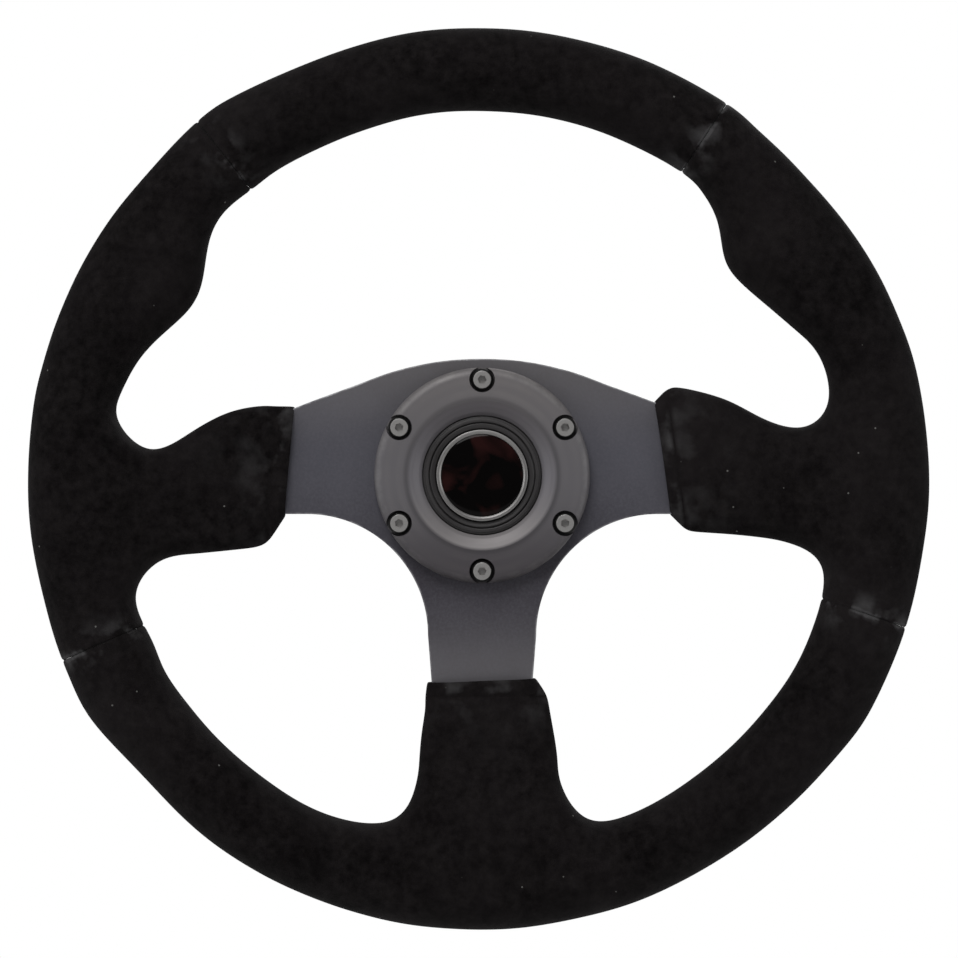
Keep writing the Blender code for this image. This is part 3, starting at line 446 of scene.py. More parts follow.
def sums(tree, operation, first, second):
    made = node(tree, "Math", operation=operation)
    for socket, value in zip(made.inputs, (first, second)):
        if isinstance(value, bpy.types.NodeSocket):
            tree.links.new(value, socket)
        else:
            socket.default_value = value
    return made.outputs["Value"]


def mixed(tree, factor, first, second, blend="MIX"):
    """A colour between two others, as the factor says."""
    made = node(tree, "Mix", data_type="RGBA", blend_type=blend)
    for index, value in ((0, factor), (6, first), (7, second)):
        if isinstance(value, bpy.types.NodeSocket):
            tree.links.new(value, made.inputs[index])
        elif isinstance(value, tuple):
            made.inputs[index].default_value = (*value, 1)
        else:
            made.inputs[index].default_value = value
    return made.outputs[2]


def effect(name, inputs, outputs):
    """An empty node group with named values in and out."""
    group = bpy.data.node_groups.new(name, "ShaderNodeTree")
    for label, value in inputs.items():
        socket = group.interface.new_socket(name=label, in_out="INPUT", socket_type="NodeSocketFloat")
        socket.default_value = value
    for label in outputs:
        group.interface.new_socket(name=label, in_out="OUTPUT", socket_type="NodeSocketFloat")
    return group, group.nodes.new("NodeGroupInput").outputs, group.nodes.new("NodeGroupOutput").inputs


def placed(tree, group, **values):
    made = tree.nodes.new("ShaderNodeGroup")
    made.node_tree = group
    for label, value in values.items():
        made.inputs[label].default_value = value
    return made.outputs


def material(name):
    made = bpy.data.materials.new(name)
    made.use_nodes = True
    return made, made.node_tree, made.node_tree.nodes["Principled BSDF"].inputs


def clouds(tree, scale, detail, **more):
    """Soft noise over the piece, from 0 to 1, with so many clouds to the metre."""
    where = node(tree, "TexCoord").outputs["Object"]
    inputs = {"Vector": where, "Scale": scale, "Detail": detail, **more}
    return node(tree, "TexNoise", inputs).outputs["Fac"]


def bumped(tree, shader, height, strength, depth):
    """Gives a surface its relief, to a depth in mm."""
    relief = node(tree, "Bump", {"Height": height, "Strength": strength, "Distance": depth * MM})
    tree.links.new(relief.outputs["Normal"], shader["Normal"])


def nap_effect():
    """Short brushed fibres: their height, and where they lie light or dark."""
    group, given, out = effect("nap", {"Fibres": 1500}, ("Height", "Shade"))
    fibres = clouds(group, given["Fibres"], 3)
    clumps = clouds(group, 260, 4, Roughness=0.65)
    strokes = clouds(group, 42, 5, Distortion=1.4)
    height = sums(group, "ADD", fibres, sums(group, "MULTIPLY", clumps, 0.8))
    group.links.new(height, out["Height"])
    shade = sums(group, "MULTIPLY", clumps, sums(group, "ADD", strokes, 0.5))
    group.links.new(remap(group, shade, 0.3, 0.75), out["Shade"])
    return group


def black_suede():
    made, tree, shader = material("black_suede")
    nap = placed(tree, nap_effect())
    mottle = remap(tree, clouds(tree, 17, 4), 0.42, 0.68)
    tint = mixed(tree, mottle, (0.0009, 0.0005, 0.0006), (0.0056, 0.0045, 0.0048))
    tint = mixed(tree, sums(tree, "MULTIPLY", nap["Shade"], 0.6), tint, (0.0112, 0.0096, 0.0098))
    # The attribute marks where the suede is rubbed paler; by each sleeve's mouth it also paints a highlight
    # on the hem's ridge and leaves the fold beside it dark as painted shade.
    rubbed = node(tree, "Attribute", attribute_name="rub_and_highlight").outputs["Fac"]
    rubbed = sums(tree, "MULTIPLY", rubbed, remap(tree, clouds(tree, 95, 3), 0.5, 0.72))
    tint = mixed(tree, sums(tree, "MULTIPLY", rubbed, 0.85), tint, SUEDE_RUB_AND_HIGHLIGHT)
    where = node(tree, "TexCoord").outputs["Object"]
    lint = node(tree, "TexVoronoi", {"Vector": where, "Scale": 105}).outputs["Distance"]
    tint = mixed(tree, remap(tree, lint, 0.03, 0.045, 0.5, 0), tint, (0.16, 0.16, 0.15))
    tree.links.new(tint, shader["Base Color"])
    shader["Roughness"].default_value = 0.92
    shader["Specular IOR Level"].default_value = 0.05
    shader["Sheen Weight"].default_value = 0.02
    shader["Sheen Roughness"].default_value = 0.5
    bumped(tree, shader, nap["Height"], 0.45, 0.25)
    return made


suede = black_suede()
edge_bounds = list(SEAM_ANGLES) + [SEAM_ANGLES[0] + 360]
for name, low, high in zip(("right", "top", "left", "bottom"), edge_bounds, edge_bounds[1:]):
    bm = bmesh.new()
    bm.from_mesh(whole_skin)
    others = []
    for face in bm.faces:
        middle = face.calc_center_median()
        turn = math.degrees(math.atan2(middle.z - RIM_CENTRE.y, middle.x - RIM_CENTRE.x))
        if not low < (turn - low) % 360 + low < high:
            others.append(face)
    bmesh.ops.delete(bm, geom=others, context="FACES")
    bm.normal_update()
    seam_edges = []
    for edge in bm.edges:
        middle = (edge.verts[0].co + edge.verts[1].co) / 2
        if edge.is_boundary and math.hypot(middle.x, middle.z) > SEAMS_BEYOND:
            seam_edges.append(edge)
    inward = {corner: corner.normal.copy() for edge in seam_edges for corner in edge.verts}
    made = bmesh.ops.extrude_edge_only(bm, edges=seam_edges)["geom"]
    turned = [item for item in made if isinstance(item, bmesh.types.BMVert)]
    for corner in turned:
        source = min(inward, key=lambda other: (other.co - corner.co).length_squared)
        corner.co -= inward[source] * SEAM_TURN
    mesh = bpy.data.meshes.new(f"suede_panel_{name}")
    bm.to_mesh(mesh)
    bm.free()
    mesh.shade_smooth()
    mesh.materials.append(suede)
    panel = bpy.data.objects.new(f"suede_panel_{name}", mesh)
    scene.collection.objects.link(panel)
    wall = panel.modifiers.new("hide", "SOLIDIFY")
    wall.thickness = HIDE_THICKNESS
    wall.offset = -1
    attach(panel, "wheel")
    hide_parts(f"suede_{name}")
bpy.data.meshes.remove(whole_skin)


# ---- Lacing. Waxed black thread, crossed over the gap where the hide's edges meet behind the
# inner side of the rim and down the back of each sleeve.
STITCH_PITCH = 3.2 * MM
STITCH_REACH = 2.1 * MM  # from the gap to a stitch's hole
THREAD_RADIUS = 0.34 * MM
STITCH_RISE = ((0, -0.7), (0.06, 0.1), (0.3, 0.4), (0.7, 0.4), (0.94, 0.1), (1, -0.7))  # share, mm
START_OF_LACE = 25 * MM  # from the end of the edge, which is turned in at the sleeve's mouth


def stitch_mesh():
    """One stitch along X, from 0 to 1, that dips into its hole at both ends."""
    bm = bmesh.new()
    upright = Matrix.Rotation(math.radians(90), 4, "Y")
    bmesh.ops.create_circle(bm, cap_ends=True, segments=6, radius=THREAD_RADIUS, matrix=upright)
    cap = bm.faces[:]
    for before, after in zip(STITCH_RISE, STITCH_RISE[1:]):
        made = bmesh.ops.extrude_face_region(bm, geom=cap)["geom"]
        cap = [item for item in made if isinstance(item, bmesh.types.BMFace)]
        ring = [item for item in made if isinstance(item, bmesh.types.BMVert)]
        step = (after[0] - before[0], 0, (after[1] - before[1]) * MM)
        bmesh.ops.translate(bm, verts=ring, vec=step)
    bmesh.ops.recalc_face_normals(bm, faces=bm.faces)
    mesh = bpy.data.meshes.new("stitch")
    bm.to_mesh(mesh)
    bm.free()
    return mesh


def spaced(path, pitch):
    """Points at an even pitch along a path, each with its direction and the surface's normal."""
    found = []
    travelled = 0
    due = START_OF_LACE
    total = sum((b[0] - a[0]).length for a, b in zip(path, path[1:]))
    for (start, normal), (end, _) in zip(path, path[1:]):
        length = (end - start).length
        while due < travelled + length and due < total - START_OF_LACE:
            place = start.lerp(end, (due - travelled) / length)
            found.append((place, (end - start).normalized(), normal))
            due += pitch
        travelled += length
    return found


stitch = stitch_mesh()
bm = bmesh.new()
for path in lace_paths:
    for place, along, normal in spaced(path, STITCH_PITCH):
        side = normal.cross(along).normalized()
        for hand in (-1, 1):
            start = place - side * hand * STITCH_REACH - along * STITCH_PITCH * 0.42
            run = side * hand * STITCH_REACH * 2 + along * STITCH_PITCH * 0.84
            lift = normal * (0.1 + 0.25 * (hand > 0)) * MM
            breadth = normal.cross(run.normalized())
            turn = Matrix((run, breadth, normal)).transposed().to_4x4()
            made = len(bm.verts)
            bm.from_mesh(stitch)
            bm.verts.ensure_lookup_table()
            for corner in bm.verts[made:]:  # each stitch bends to lie on the hide
                under = start + run * corner.co.x
                settled = hide_tree.find_nearest(under)[0]
                corner.co = Matrix.Translation(settled - run * corner.co.x + lift) @ turn @ corner.co
bpy.data.meshes.remove(stitch)


def waxed_thread():
    made, tree, shader = material("waxed_black_thread")
    twist = clouds(tree, 2400, 2)
    tint = mixed(tree, twist, (0.006, 0.006, 0.006), (0.02, 0.02, 0.021))
    tree.links.new(tint, shader["Base Color"])
    shader["Roughness"].default_value = 0.6
    bumped(tree, shader, twist, 0.5, 0.1)
    return made


def finished(bm, name, body, look, stands_for=(), sharp=30):
    """Makes a bmesh a finished piece, smooth shaded, on its body and in its material."""
    mesh = bpy.data.meshes.new(name)
    bm.to_mesh(mesh)
    bm.free()
    mesh.shade_smooth()
    if sharp:
        mesh.set_sharp_from_angle(angle=math.radians(sharp))
    mesh.materials.append(look)
    piece = bpy.data.objects.new(name, mesh)
    scene.collection.objects.link(piece)
    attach(piece, body)
    if stands_for:
        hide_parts(*stands_for)
    return piece


finished(bm, "lacing_thread", "wheel", waxed_thread(), sharp=0)


# ---- Spoke plate. One flat piece of 4 mm aluminium with two side spokes and a lower one, edges
# broken by a fine chamfer, bead-blasted and anodised dark grey-blue. It is bolted at the hub.
CROWN = ((0, 45.2), (17, 44.1), (34, 40.4), (50, 34.6), (66.9, 28.4), (80, 23.2))
SPOKE_LOWER_EDGE = -15
FILLET_CENTRE = (68, -62)
FILLET_RADIUS = 47
LOWER_HALF_WIDTH = 19.3  # where the lower spoke goes into its sleeve
PLATE_CHAMFER = 0.35 * MM
HUB_BORE = 24
BOLT_CIRCLE = 37  # its radius
BOLT_HOLE = 2.8
BOLT_ANGLES = [math.radians(degrees) for degrees in range(30, 390, 60)]
BOLT_PLACES = [(BOLT_CIRCLE * math.cos(a), BOLT_CIRCLE * math.sin(a)) for a in BOLT_ANGLES]


def arc(centre, radius, start, end, steps):
    turns = [math.radians(start + (end - start) * i / steps) for i in range(steps + 1)]
    return [(centre[0] + radius * math.cos(a), centre[1] + radius * math.sin(a)) for a in turns]


def smooth_line(points, steps):
    """A smooth curve through the points, by Catmull-Rom spans."""
    points = [Vector(point) for point in points]
    ends = [2 * points[0] - points[1], *points, 2 * points[-1] - points[-2]]
    line = []
    for a, b, c, d in zip(ends, ends[1:], ends[2:], ends[3:]):
        for i in range(steps):
            t = i / steps
            bend = (2 * a - 5 * b + 4 * c - d) * t * t + (3 * b - a - 3 * c + d) * t**3
            line.append((2 * b + (c - a) * t + bend) / 2)
    return [tuple(point) for point in line] + [tuple(points[-1])]


def plate_side():
    """The plate's edge on the right, from the crown round to the lower spoke's end, in mm."""
    edge = smooth_line(((-17, 44.1), *CROWN), 12)[12:]
    edge += [(86, 18), (140, 1), (151.5, -1), (152.2, -9), (151.5, -17), (90, -15.2)]
    edge.append((80, SPOKE_LOWER_EDGE))
    edge += arc(FILLET_CENTRE, FILLET_RADIUS, 90, 180, 40)
    edge += [(LOWER_HALF_WIDTH, -84), (15.5, -90), (15, -153.5)]
    return edge


def edge_marks(bm, angle=20):
    """Marks the corners along a chamfer or a rounded edge, where a finish wears first."""
    worn = bm.verts.layers.float.new("worn")
    bm.normal_update()
    for corner in bm.verts:
        bend = max((edge.calc_face_angle(0) for edge in corner.link_edges), default=0)
        corner[worn] = 1.0 if bend > math.radians(angle) else 0.0


def rod(bm, radius, length, place, steps=40):
    """Adds a round or sided bar to cut with, along the placed Z. Sizes in mm."""
    bmesh.ops.create_cone(
        bm, cap_ends=True, segments=steps, radius1=radius * MM, radius2=radius * MM,
        depth=length * MM, matrix=place,
    )


def bored(piece_name, bm, places, radius, y_start, y_end, steps=40):
    """Bores holes along Y and gives the cut mesh back. Sizes in mm."""
    cutter_bm = bmesh.new()
    for x, z in places:
        turn = Matrix.Translation((x * MM, (y_start + y_end) / 2 * MM, z * MM))
        turn = turn @ Matrix.Rotation(math.radians(90), 4, "X")
        rod(cutter_bm, radius, abs(y_end - y_start), turn, steps)
    return subtract(piece_name, bm, cutter_bm)


def subtract(name, bm, cutter_bm):
    """Cuts one closed shape out of another."""
    parts = []
    for label, shape in ((name, bm), (name + "_cutter", cutter_bm)):
        bmesh.ops.recalc_face_normals(shape, faces=shape.faces)
        mesh = bpy.data.meshes.new(label)
        shape.to_mesh(mesh)
        shape.free()
        part = bpy.data.objects.new(label, mesh)
        scene.collection.objects.link(part)
        parts.append(part)
    boolean = parts[0].modifiers.new("cut", "BOOLEAN")
    boolean.operation = "DIFFERENCE"
    boolean.solver = "EXACT"
    boolean.object = parts[1]
    graph = bpy.context.evaluated_depsgraph_get()
    mesh = bpy.data.meshes.new_from_object(parts[0].evaluated_get(graph))
    for part in parts:
        bpy.data.objects.remove(part, do_unlink=True)
    result = bmesh.new()
    result.from_mesh(mesh)
    bpy.data.meshes.remove(mesh)
    return result


def grain_effect():
    """Fine blasted or moulded grain, with its height and a slow waver in how it reflects."""
    group, given, out = effect("grain", {"Scale": 900}, ("Height", "Waver"))
    group.links.new(clouds(group, given["Scale"], 4, Roughness=0.7), out["Height"])
    group.links.new(remap(group, clouds(group, 26, 4, Roughness=0.6), 0.35, 0.68), out["Waver"])
    return group


def worn_effect():
    """Where a finish has worn thin along its edges, broken up so that it isn't an even line."""
    group, given, out = effect("worn_edges", {"Amount": 0.6}, ("Wear",))
    marked = node(group, "Attribute", attribute_name="worn").outputs["Fac"]
    broken = remap(group, clouds(group, 140, 5, Roughness=0.7), 0.4, 0.62)
    wear = sums(group, "MULTIPLY", marked, sums(group, "MULTIPLY", broken, given["Amount"]))
    group.links.new(wear, out["Wear"])
    return group


grain = grain_effect()
worn_edges = worn_effect()


def by_height(tree, stops):
    """A colour that changes up the piece, from stops of (z in mm, colour)."""
    where = node(tree, "TexCoord").outputs["Object"]
    height = node(tree, "SeparateXYZ", {"Vector": where}).outputs["Z"]
    low, high = stops[0][0], stops[-1][0]
    ramp = node(tree, "ValToRGB", {"Fac": remap(tree, height, low * MM, high * MM)})
    ramp.color_ramp.interpolation = "EASE"
    points = ramp.color_ramp.elements
    points[0].color = (*stops[0][1], 1)
    points[1].color = (*stops[-1][1], 1)
    for z, colour in stops[1:-1]:
        points.new((z - low) / (high - low)).color = (*colour, 1)
    return ramp.outputs["Color"]


def anodised_plate():
    """Blasted and anodised, worn at its edges, with painted shade and painted reflection by height: darkest
    below the hub, lighter at the crown and near the lower sleeve.
    """
    made, tree, shader = material("dark_anodised_plate")
    fine = placed(tree, grain, Scale=900)
    wear = placed(tree, worn_edges, Amount=0.75)["Wear"]
    # Painted light by height: painted shade below the hub, and a lighter painted reflection at the crown
    # and toward the lower sleeve.
    tint = by_height(
        tree,
        (
            (-80, (0.088, 0.084, 0.09)),
            (-46, (0.034, 0.031, 0.038)),
            (8, (0.06, 0.059, 0.071)),
            (46, (0.09, 0.085, 0.088)),
        ),
    )
    tint = mixed(tree, sums(tree, "MULTIPLY", fine["Waver"], 0.12), tint, (0.14, 0.138, 0.155))
    tint = mixed(tree, remap(tree, fine["Height"], 0.4, 0.7, 0, 0.2), tint, (0.12, 0.118, 0.135))
    tree.links.new(mixed(tree, wear, tint, (0.26, 0.26, 0.27)), shader["Base Color"])
    rough = remap(tree, fine["Waver"], 0, 1, 0.44, 0.49)
    tree.links.new(sums(tree, "SUBTRACT", rough, sums(tree, "MULTIPLY", wear, 0.12)), shader["Roughness"])
    shader["Metallic"].default_value = 0.3
    shader["Specular IOR Level"].default_value = 0.18
    bumped(tree, shader, fine["Height"], 0.3, 0.02)
    return made


plate_low, plate_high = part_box("spoke_plate")
side = plate_side()
outline = side + [(-x, z) for x, z in reversed(side[1:])]
bm = bmesh.new()
corners = [bm.verts.new((x * MM, plate_high.y, z * MM)) for x, z in outline]
face = bm.faces.new(corners)
made = bmesh.ops.extrude_face_region(bm, geom=[face])["geom"]
moved = [item for item in made if isinstance(item, bmesh.types.BMVert)]
bmesh.ops.translate(bm, verts=moved, vec=(0, plate_low.y - plate_high.y, 0))
bmesh.ops.recalc_face_normals(bm, faces=bm.faces)
rims = [edge for edge in bm.edges if abs(edge.verts[0].co.y - edge.verts[1].co.y) < 0.01 * MM]
bmesh.ops.bevel(
    bm, geom=rims, affect="EDGES", offset=PLATE_CHAMFER, segments=2, profile=0.5, material=-1
)
plate_y = plate_low.y / MM - 1, plate_high.y / MM + 1
flats = [face for face in bm.faces if abs(face.normal.y) > 0.99 and len(face.verts) > 50]
bmesh.ops.inset_region(bm, faces=flats, thickness=0.3 * MM, use_even_offset=True)
edge_marks(bm)
bm = bored("plate_holes", bm, BOLT_PLACES, BOLT_HOLE, *plate_y)
bm = bored("plate_bore", bm, [(0, 0)], HUB_BORE, *plate_y, steps=96)
finished(bm, "three_spoke_plate", "wheel", anodised_plate(), ("spoke_plate",), 25)


# ---- Hub ring. Turned aluminium, anodised warm grey, with a rounded edge, a dished bore that
# clamps the horn button, and six counterbores. It goes on from the driver's side.
RING_ROUND = 3.2
COUNTERBORE_RADIUS = 4.95
RING_STEPS = 160


def rounded(profile, steps=5):
    """A profile of (radius, y, rounding) in mm, with its corners made arcs."""
    points = []
    for i, (radius, y, rounding) in enumerate(profile):
        corner = Vector((radius, y))
        before = Vector(profile[i - 1][:2]) - corner
        after = Vector(profile[(i + 1) % len(profile)][:2]) - corner
        if not rounding:
            points.append(tuple(corner))
            continue
        before.normalize()
        after.normalize()
        half = before.angle(after) / 2
        reach = rounding / math.tan(half)
        centre = corner + (before + after).normalized() * rounding / math.sin(half)
        start, end = corner + before * reach - centre, corner + after * reach - centre
        turns = [start.slerp(end, step / steps).normalized() for step in range(steps + 1)]
        arc_points = [tuple(centre + turn * rounding) for turn in turns]
        neighbours = (profile[i - 1], profile[(i + 1) % len(profile)])
        room = [(Vector(other[:2]) - corner).length > reach + other[2] + 1 for other in neighbours]
        if room[0]:  # a line close to the corner keeps its wear off the flat beside it
            arc_points.insert(0, tuple(corner + before * (reach + 0.3)))
        if room[1]:
            arc_points.append(tuple(corner + after * (reach + 0.3)))
        points += arc_points
    return points


def turned(profile, steps=RING_STEPS, arc_steps=5):
    """A piece turned about the steering axis from a closed profile of (radius, y, rounding)."""
    bm = bmesh.new()
    corners = [bm.verts.new((radius * MM, y * MM, 0)) for radius, y in rounded(profile, arc_steps)]
    edges = [bm.edges.new((a, b)) for a, b in zip(corners, corners[1:] + corners[:1])]
    geom = corners + edges
    bmesh.ops.spin(
        bm, geom=geom, axis=(0, 1, 0), cent=(0, 0, 0), angle=math.tau, steps=steps, use_merge=True
    )
    bmesh.ops.remove_doubles(bm, verts=bm.verts, dist=1e-7)
    bmesh.ops.dissolve_degenerate(bm, dist=1e-7, edges=bm.edges)
    bmesh.ops.recalc_face_normals(bm, faces=bm.faces)
    return bm


def span(node_name):
    """Where a node's front and rear lie along the steering axis, in mm."""
    low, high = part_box(node_name)
    return low.y / MM, high.y / MM


def lathe_effect():
    """The fine rings that a lathe's tool leaves, by distance from the steering axis."""
    group, given, out = effect("lathe_marks", {"Rings": 2600}, ("Height", "Shade", "Radius"))
    where = node(group, "TexCoord").outputs["Object"]
    flat = node(group, "VectorMath", {0: where, 1: (1, 0, 1)}, operation="MULTIPLY")
    radius = node(group, "VectorMath", {0: flat.outputs["Vector"]}, operation="LENGTH").outputs["Value"]
    fine = sums(group, "MULTIPLY", radius, given["Rings"])
    cut = node(group, "TexNoise", {"W": fine, "Scale": 1, "Detail": 3}, noise_dimensions="1D")
    wide = sums(group, "MULTIPLY", radius, 420)
    band = node(group, "TexNoise", {"W": wide, "Scale": 1, "Detail": 2}, noise_dimensions="1D")
    group.links.new(radius, out["Radius"])
    group.links.new(cut.outputs["Fac"], out["Height"])
    group.links.new(remap(group, band.outputs["Fac"], 0.35, 0.65), out["Shade"])
    return group


lathe_marks = lathe_effect()


def turned_finish(name, dark, light, worn, roughness=0.38, metallic=0.6, strength=0.35, amount=0.6):
    made, tree, shader = material(name)
    marks = placed(tree, lathe_marks)
    fine = placed(tree, grain, Scale=1300)
    wear = placed(tree, worn_edges, Amount=amount)["Wear"]
    tint = mixed(tree, sums(tree, "MULTIPLY", marks["Shade"], fine["Waver"]), dark, light)
    tree.links.new(mixed(tree, wear, tint, worn), shader["Base Color"])
    rough = remap(tree, fine["Waver"], 0, 1, roughness - 0.05, roughness + 0.08)
    tree.links.new(rough, shader["Roughness"])
    shader["Metallic"].default_value = metallic
    height = sums(tree, "ADD", marks["Height"], sums(tree, "MULTIPLY", fine["Height"], 0.5))
    bumped(tree, shader, height, strength, 0.015)
    return made


front, rear = span("horn_retainer_ring")
ring_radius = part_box("horn_retainer_ring")[1].x / MM + 0.3
bm = turned(
    (
        (ring_radius, rear, 0.3), (ring_radius, front, RING_ROUND), (28.9, front, 1.2),
        (26.6, front + 0.9, 1.5), (24.5, front + 2.1, 1.5), (23.2, front + 3.4, 0.2),
        (23.2, rear - 2.5, 0), (26.2, rear - 2.5, 0), (26.2, rear, 0.2),
    )
)
edge_marks(bm, 12)
bm = bored("ring_holes", bm, BOLT_PLACES, BOLT_HOLE, front - 1, rear + 1)
seat = front + 3.9
bm = bored("ring_counterbores", bm, BOLT_PLACES, COUNTERBORE_RADIUS, front - 1, seat, steps=64)


def anodised_ring():
    """The turned finish with painted light: the face painted paler at the top and darker at the bottom, the
    dish painted lighter at the bottom and darker at the top, and a painted line of shade where the face
    turns into the dish.
    """
    made = turned_finish(
        "grey_anodised_ring", (0.109, 0.104, 0.109), (0.124, 0.118, 0.121), (0.16, 0.155, 0.155),
        roughness=0.55, metallic=0.3,
    )
    tree = made.node_tree
    shader = tree.nodes["Principled BSDF"].inputs
    tint = shader["Base Color"].links[0].from_socket
    radius = placed(tree, lathe_marks)["Radius"]
    # Painted shade and painted light by height, as a lamp above would fall: the face darker toward the
    # bottom, the dish lighter toward the bottom.
    face = by_height(tree, ((-42, (0.42, 0.4, 0.42)), (0, (0.86, 0.86, 0.88)), (42, (1, 0.98, 0.96))))
    dish = by_height(tree, ((-28, (1.35, 1.33, 1.28)), (0, (0.98, 0.98, 1.02)), (28, (0.68, 0.66, 0.68))))
    shade = mixed(tree, remap(tree, radius, 28 * MM, 29.2 * MM), dish, face)
    tint = mixed(tree, 1.0, tint, shade, "MULTIPLY")
    # A painted dark line of shade at 29.4 mm, where the face turns into the dish.
    away = sums(tree, "ABSOLUTE", sums(tree, "SUBTRACT", radius, 29.4 * MM), 0)
    tint = mixed(tree, remap(tree, away, 0.2 * MM, 1.6 * MM, 0.45, 0), tint, (0.03, 0.028, 0.03))
    tree.links.new(tint, shader["Base Color"])
    shader["Specular IOR Level"].default_value = 0.2
    return made


finished(bm, "hub_ring", "wheel", anodised_ring(), ("horn_retainer_ring",), 30)


# ---- Hub screws. Six M5 socket screws in black steel. Their flat tops are worn bright, and they
# go through the ring and the plate into the coupler's flange.
HEAD_RADIUS = 4.25
HEAD_FLAT = 3.35
HEAD_HEIGHT = 3.4
HEX_FLATS = 3
THREAD_PITCH = 0.8


def screw_steel():
    """Black oxide, rubbed through on the top of the head where a key and thumbs touch it."""
    made, tree, shader = material("black_screw_steel")
    fine = placed(tree, grain, Scale=2200)
    marked = node(tree, "Attribute", attribute_name="worn").outputs["Fac"]
    rubbed = sums(tree, "MULTIPLY", marked, remap(tree, fine["Height"], 0.3, 0.6, 0.75, 1))
    tree.links.new(mixed(tree, rubbed, (0.004, 0.004, 0.004), (0.34, 0.332, 0.325)), shader["Base Color"])
    tree.links.new(remap(tree, rubbed, 0, 1, 0.6, 0.36), shader["Roughness"])
    shader["Specular IOR Level"].default_value = 0.2
    tree.links.new(sums(tree, "MULTIPLY", rubbed, 0.85), shader["Metallic"])
    bumped(tree, shader, fine["Height"], 0.3, 0.02)
    return made


screw_look = screw_steel()
top, tip = span("clamp_bolt_1")
under = top + HEAD_HEIGHT
thread = []
y = tip - 0.8
while y > tip - 7:  # the thread's crests and roots, up to the plain shank
    thread += [(2.5, y + THREAD_PITCH * 0.15, 0), (2.5, y, 0), (2.12, y - THREAD_PITCH * 0.35, 0)]
    y -= THREAD_PITCH
for number in range(1, 7):
    low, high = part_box(f"clamp_bolt_{number}")
    x, z = (low.x + high.x) / 2, (low.z + high.z) / 2
    shank = [(0, tip, 0), (1.9, tip, 0.2), *thread, (2.5, y, 0), (2.5, under, 0.2)]
    head = [(HEAD_RADIUS, under, 0.1), (HEAD_RADIUS, top + 1.1, 0.3), (HEAD_FLAT, top, 0.15), (0, top, 0)]
    bm = turned(shank + head, steps=48, arc_steps=2)
    key = bmesh.new()
    upright = Matrix.Translation((0, (top + 0.6) * MM, 0)) @ Matrix.Rotation(math.radians(90), 4, "X")
    rod(key, HEX_FLATS / math.sqrt(3), 3.2, upright, 6)
    bm = subtract(f"screw_{number}", bm, key)
    worn = bm.verts.layers.float.new("worn")
    for corner in bm.verts:
        radius = math.hypot(corner.co.x, corner.co.z)
        corner[worn] = 1.0 if corner.co.y < (top + 3) * MM and radius < (HEAD_FLAT + 0.02) * MM else 0.0
    turn = Matrix.Rotation(math.radians(37 * number), 4, "Y")
    bmesh.ops.transform(bm, matrix=Matrix.Translation((x, 0, z)) @ turn, verts=bm.verts)
    name = f"hub_screw_{number}"
    finished(bm, name, "wheel", screw_look, (f"clamp_bolt_{number}",), 28)


# ---- Horn button. A ribbed black bezel held under the ring's lip, and a sprung cap with a satin
# ring and a plain glossy disc. The cup, contacts and spring behind it are the frame's own.
HORN_STEPS = 144
DISC_RADIUS = 15.8
DISC_DOME = 1.3  # how far the disc rises at its middle


def moulded_black(name, tint=(0.006, 0.006, 0.0062), roughness=0.42):
    made, tree, shader = material(name)
    fine = placed(tree, grain, Scale=1100)
    light = tuple(1.7 * channel for channel in tint)
    tree.links.new(mixed(tree, fine["Waver"], tint, light), shader["Base Color"])
    tree.links.new(remap(tree, fine["Waver"], 0, 1, roughness, roughness + 0.12), shader["Roughness"])
    shader["Specular IOR Level"].default_value = 0.36
    bumped(tree, shader, fine["Height"], 0.35, 0.03)
    return made


black_plastic = moulded_black("moulded_black_plastic")
base = front + 5
bm = turned(
    (
        (25.8, base, 0.1), (25.8, base - 0.7, 0.1), (22.8, base - 0.7, 0), (22.7, base - 1.9, 0.2),
        (22.1, base - 1.9, 0.2), (21.95, base - 2.5, 0.25), (20.7, base - 2.6, 0.3),
        (20.55, base - 1.5, 0.1), (20.2, base - 1.5, 0.1), (20.05, base - 2.7, 0.3),
        (18.1, base - 2.2, 0.4), (17.9, base - 1.6, 0.1), (17.9, base, 0.1),
    ),
    HORN_STEPS,
    3,
)
bezel_plastic = moulded_black("bezel_plastic", (0.015, 0.0138, 0.0142))
finished(bm, "ribbed_bezel", "wheel", bezel_plastic, ("horn_bezel",), 30)

trim_front, trim_rear = span("horn_trim_ring")
bm = turned(
    (
        (17.65, trim_rear, 0.1), (17.65, trim_front + 0.1, 0.25), (16.6, trim_front, 0.4),
        (15.95, trim_front + 0.5, 0.15), (15.95, trim_rear, 0.1),
    ),
    HORN_STEPS,
    4,
)
edge_marks(bm)
satin = turned_finish(
    "satin_trim", (0.2, 0.195, 0.192), (0.25, 0.245, 0.24), (0.3, 0.3, 0.3),
    roughness=0.5, metallic=1, strength=0.2,
)
finished(bm, "satin_ring", "horn_button", satin, ("horn_trim_ring",), 40)


def polished_black():
    """Black acrylic under a clear coat, with faint wiping marks in its gloss and soft reddish patches of
    painted reflection.
    """
    made, tree, shader = material("polished_black")
    wiped = clouds(tree, 120, 5)
    # Soft reddish patches of painted reflection.
    painted_reflection = remap(tree, clouds(tree, 62, 2, Distortion=1.2), 0.5, 0.72)
    tint = mixed(tree, wiped, (0.0006, 0.0004, 0.0004), (0.0012, 0.0009, 0.0009))
    tree.links.new(mixed(tree, painted_reflection, tint, (0.012, 0.0036, 0.0034)), shader["Base Color"])
    tree.links.new(remap(tree, wiped, 0.3, 0.7, 0.07, 0.13), shader["Roughness"])
    shader["Specular IOR Level"].default_value = 0.07
    return made


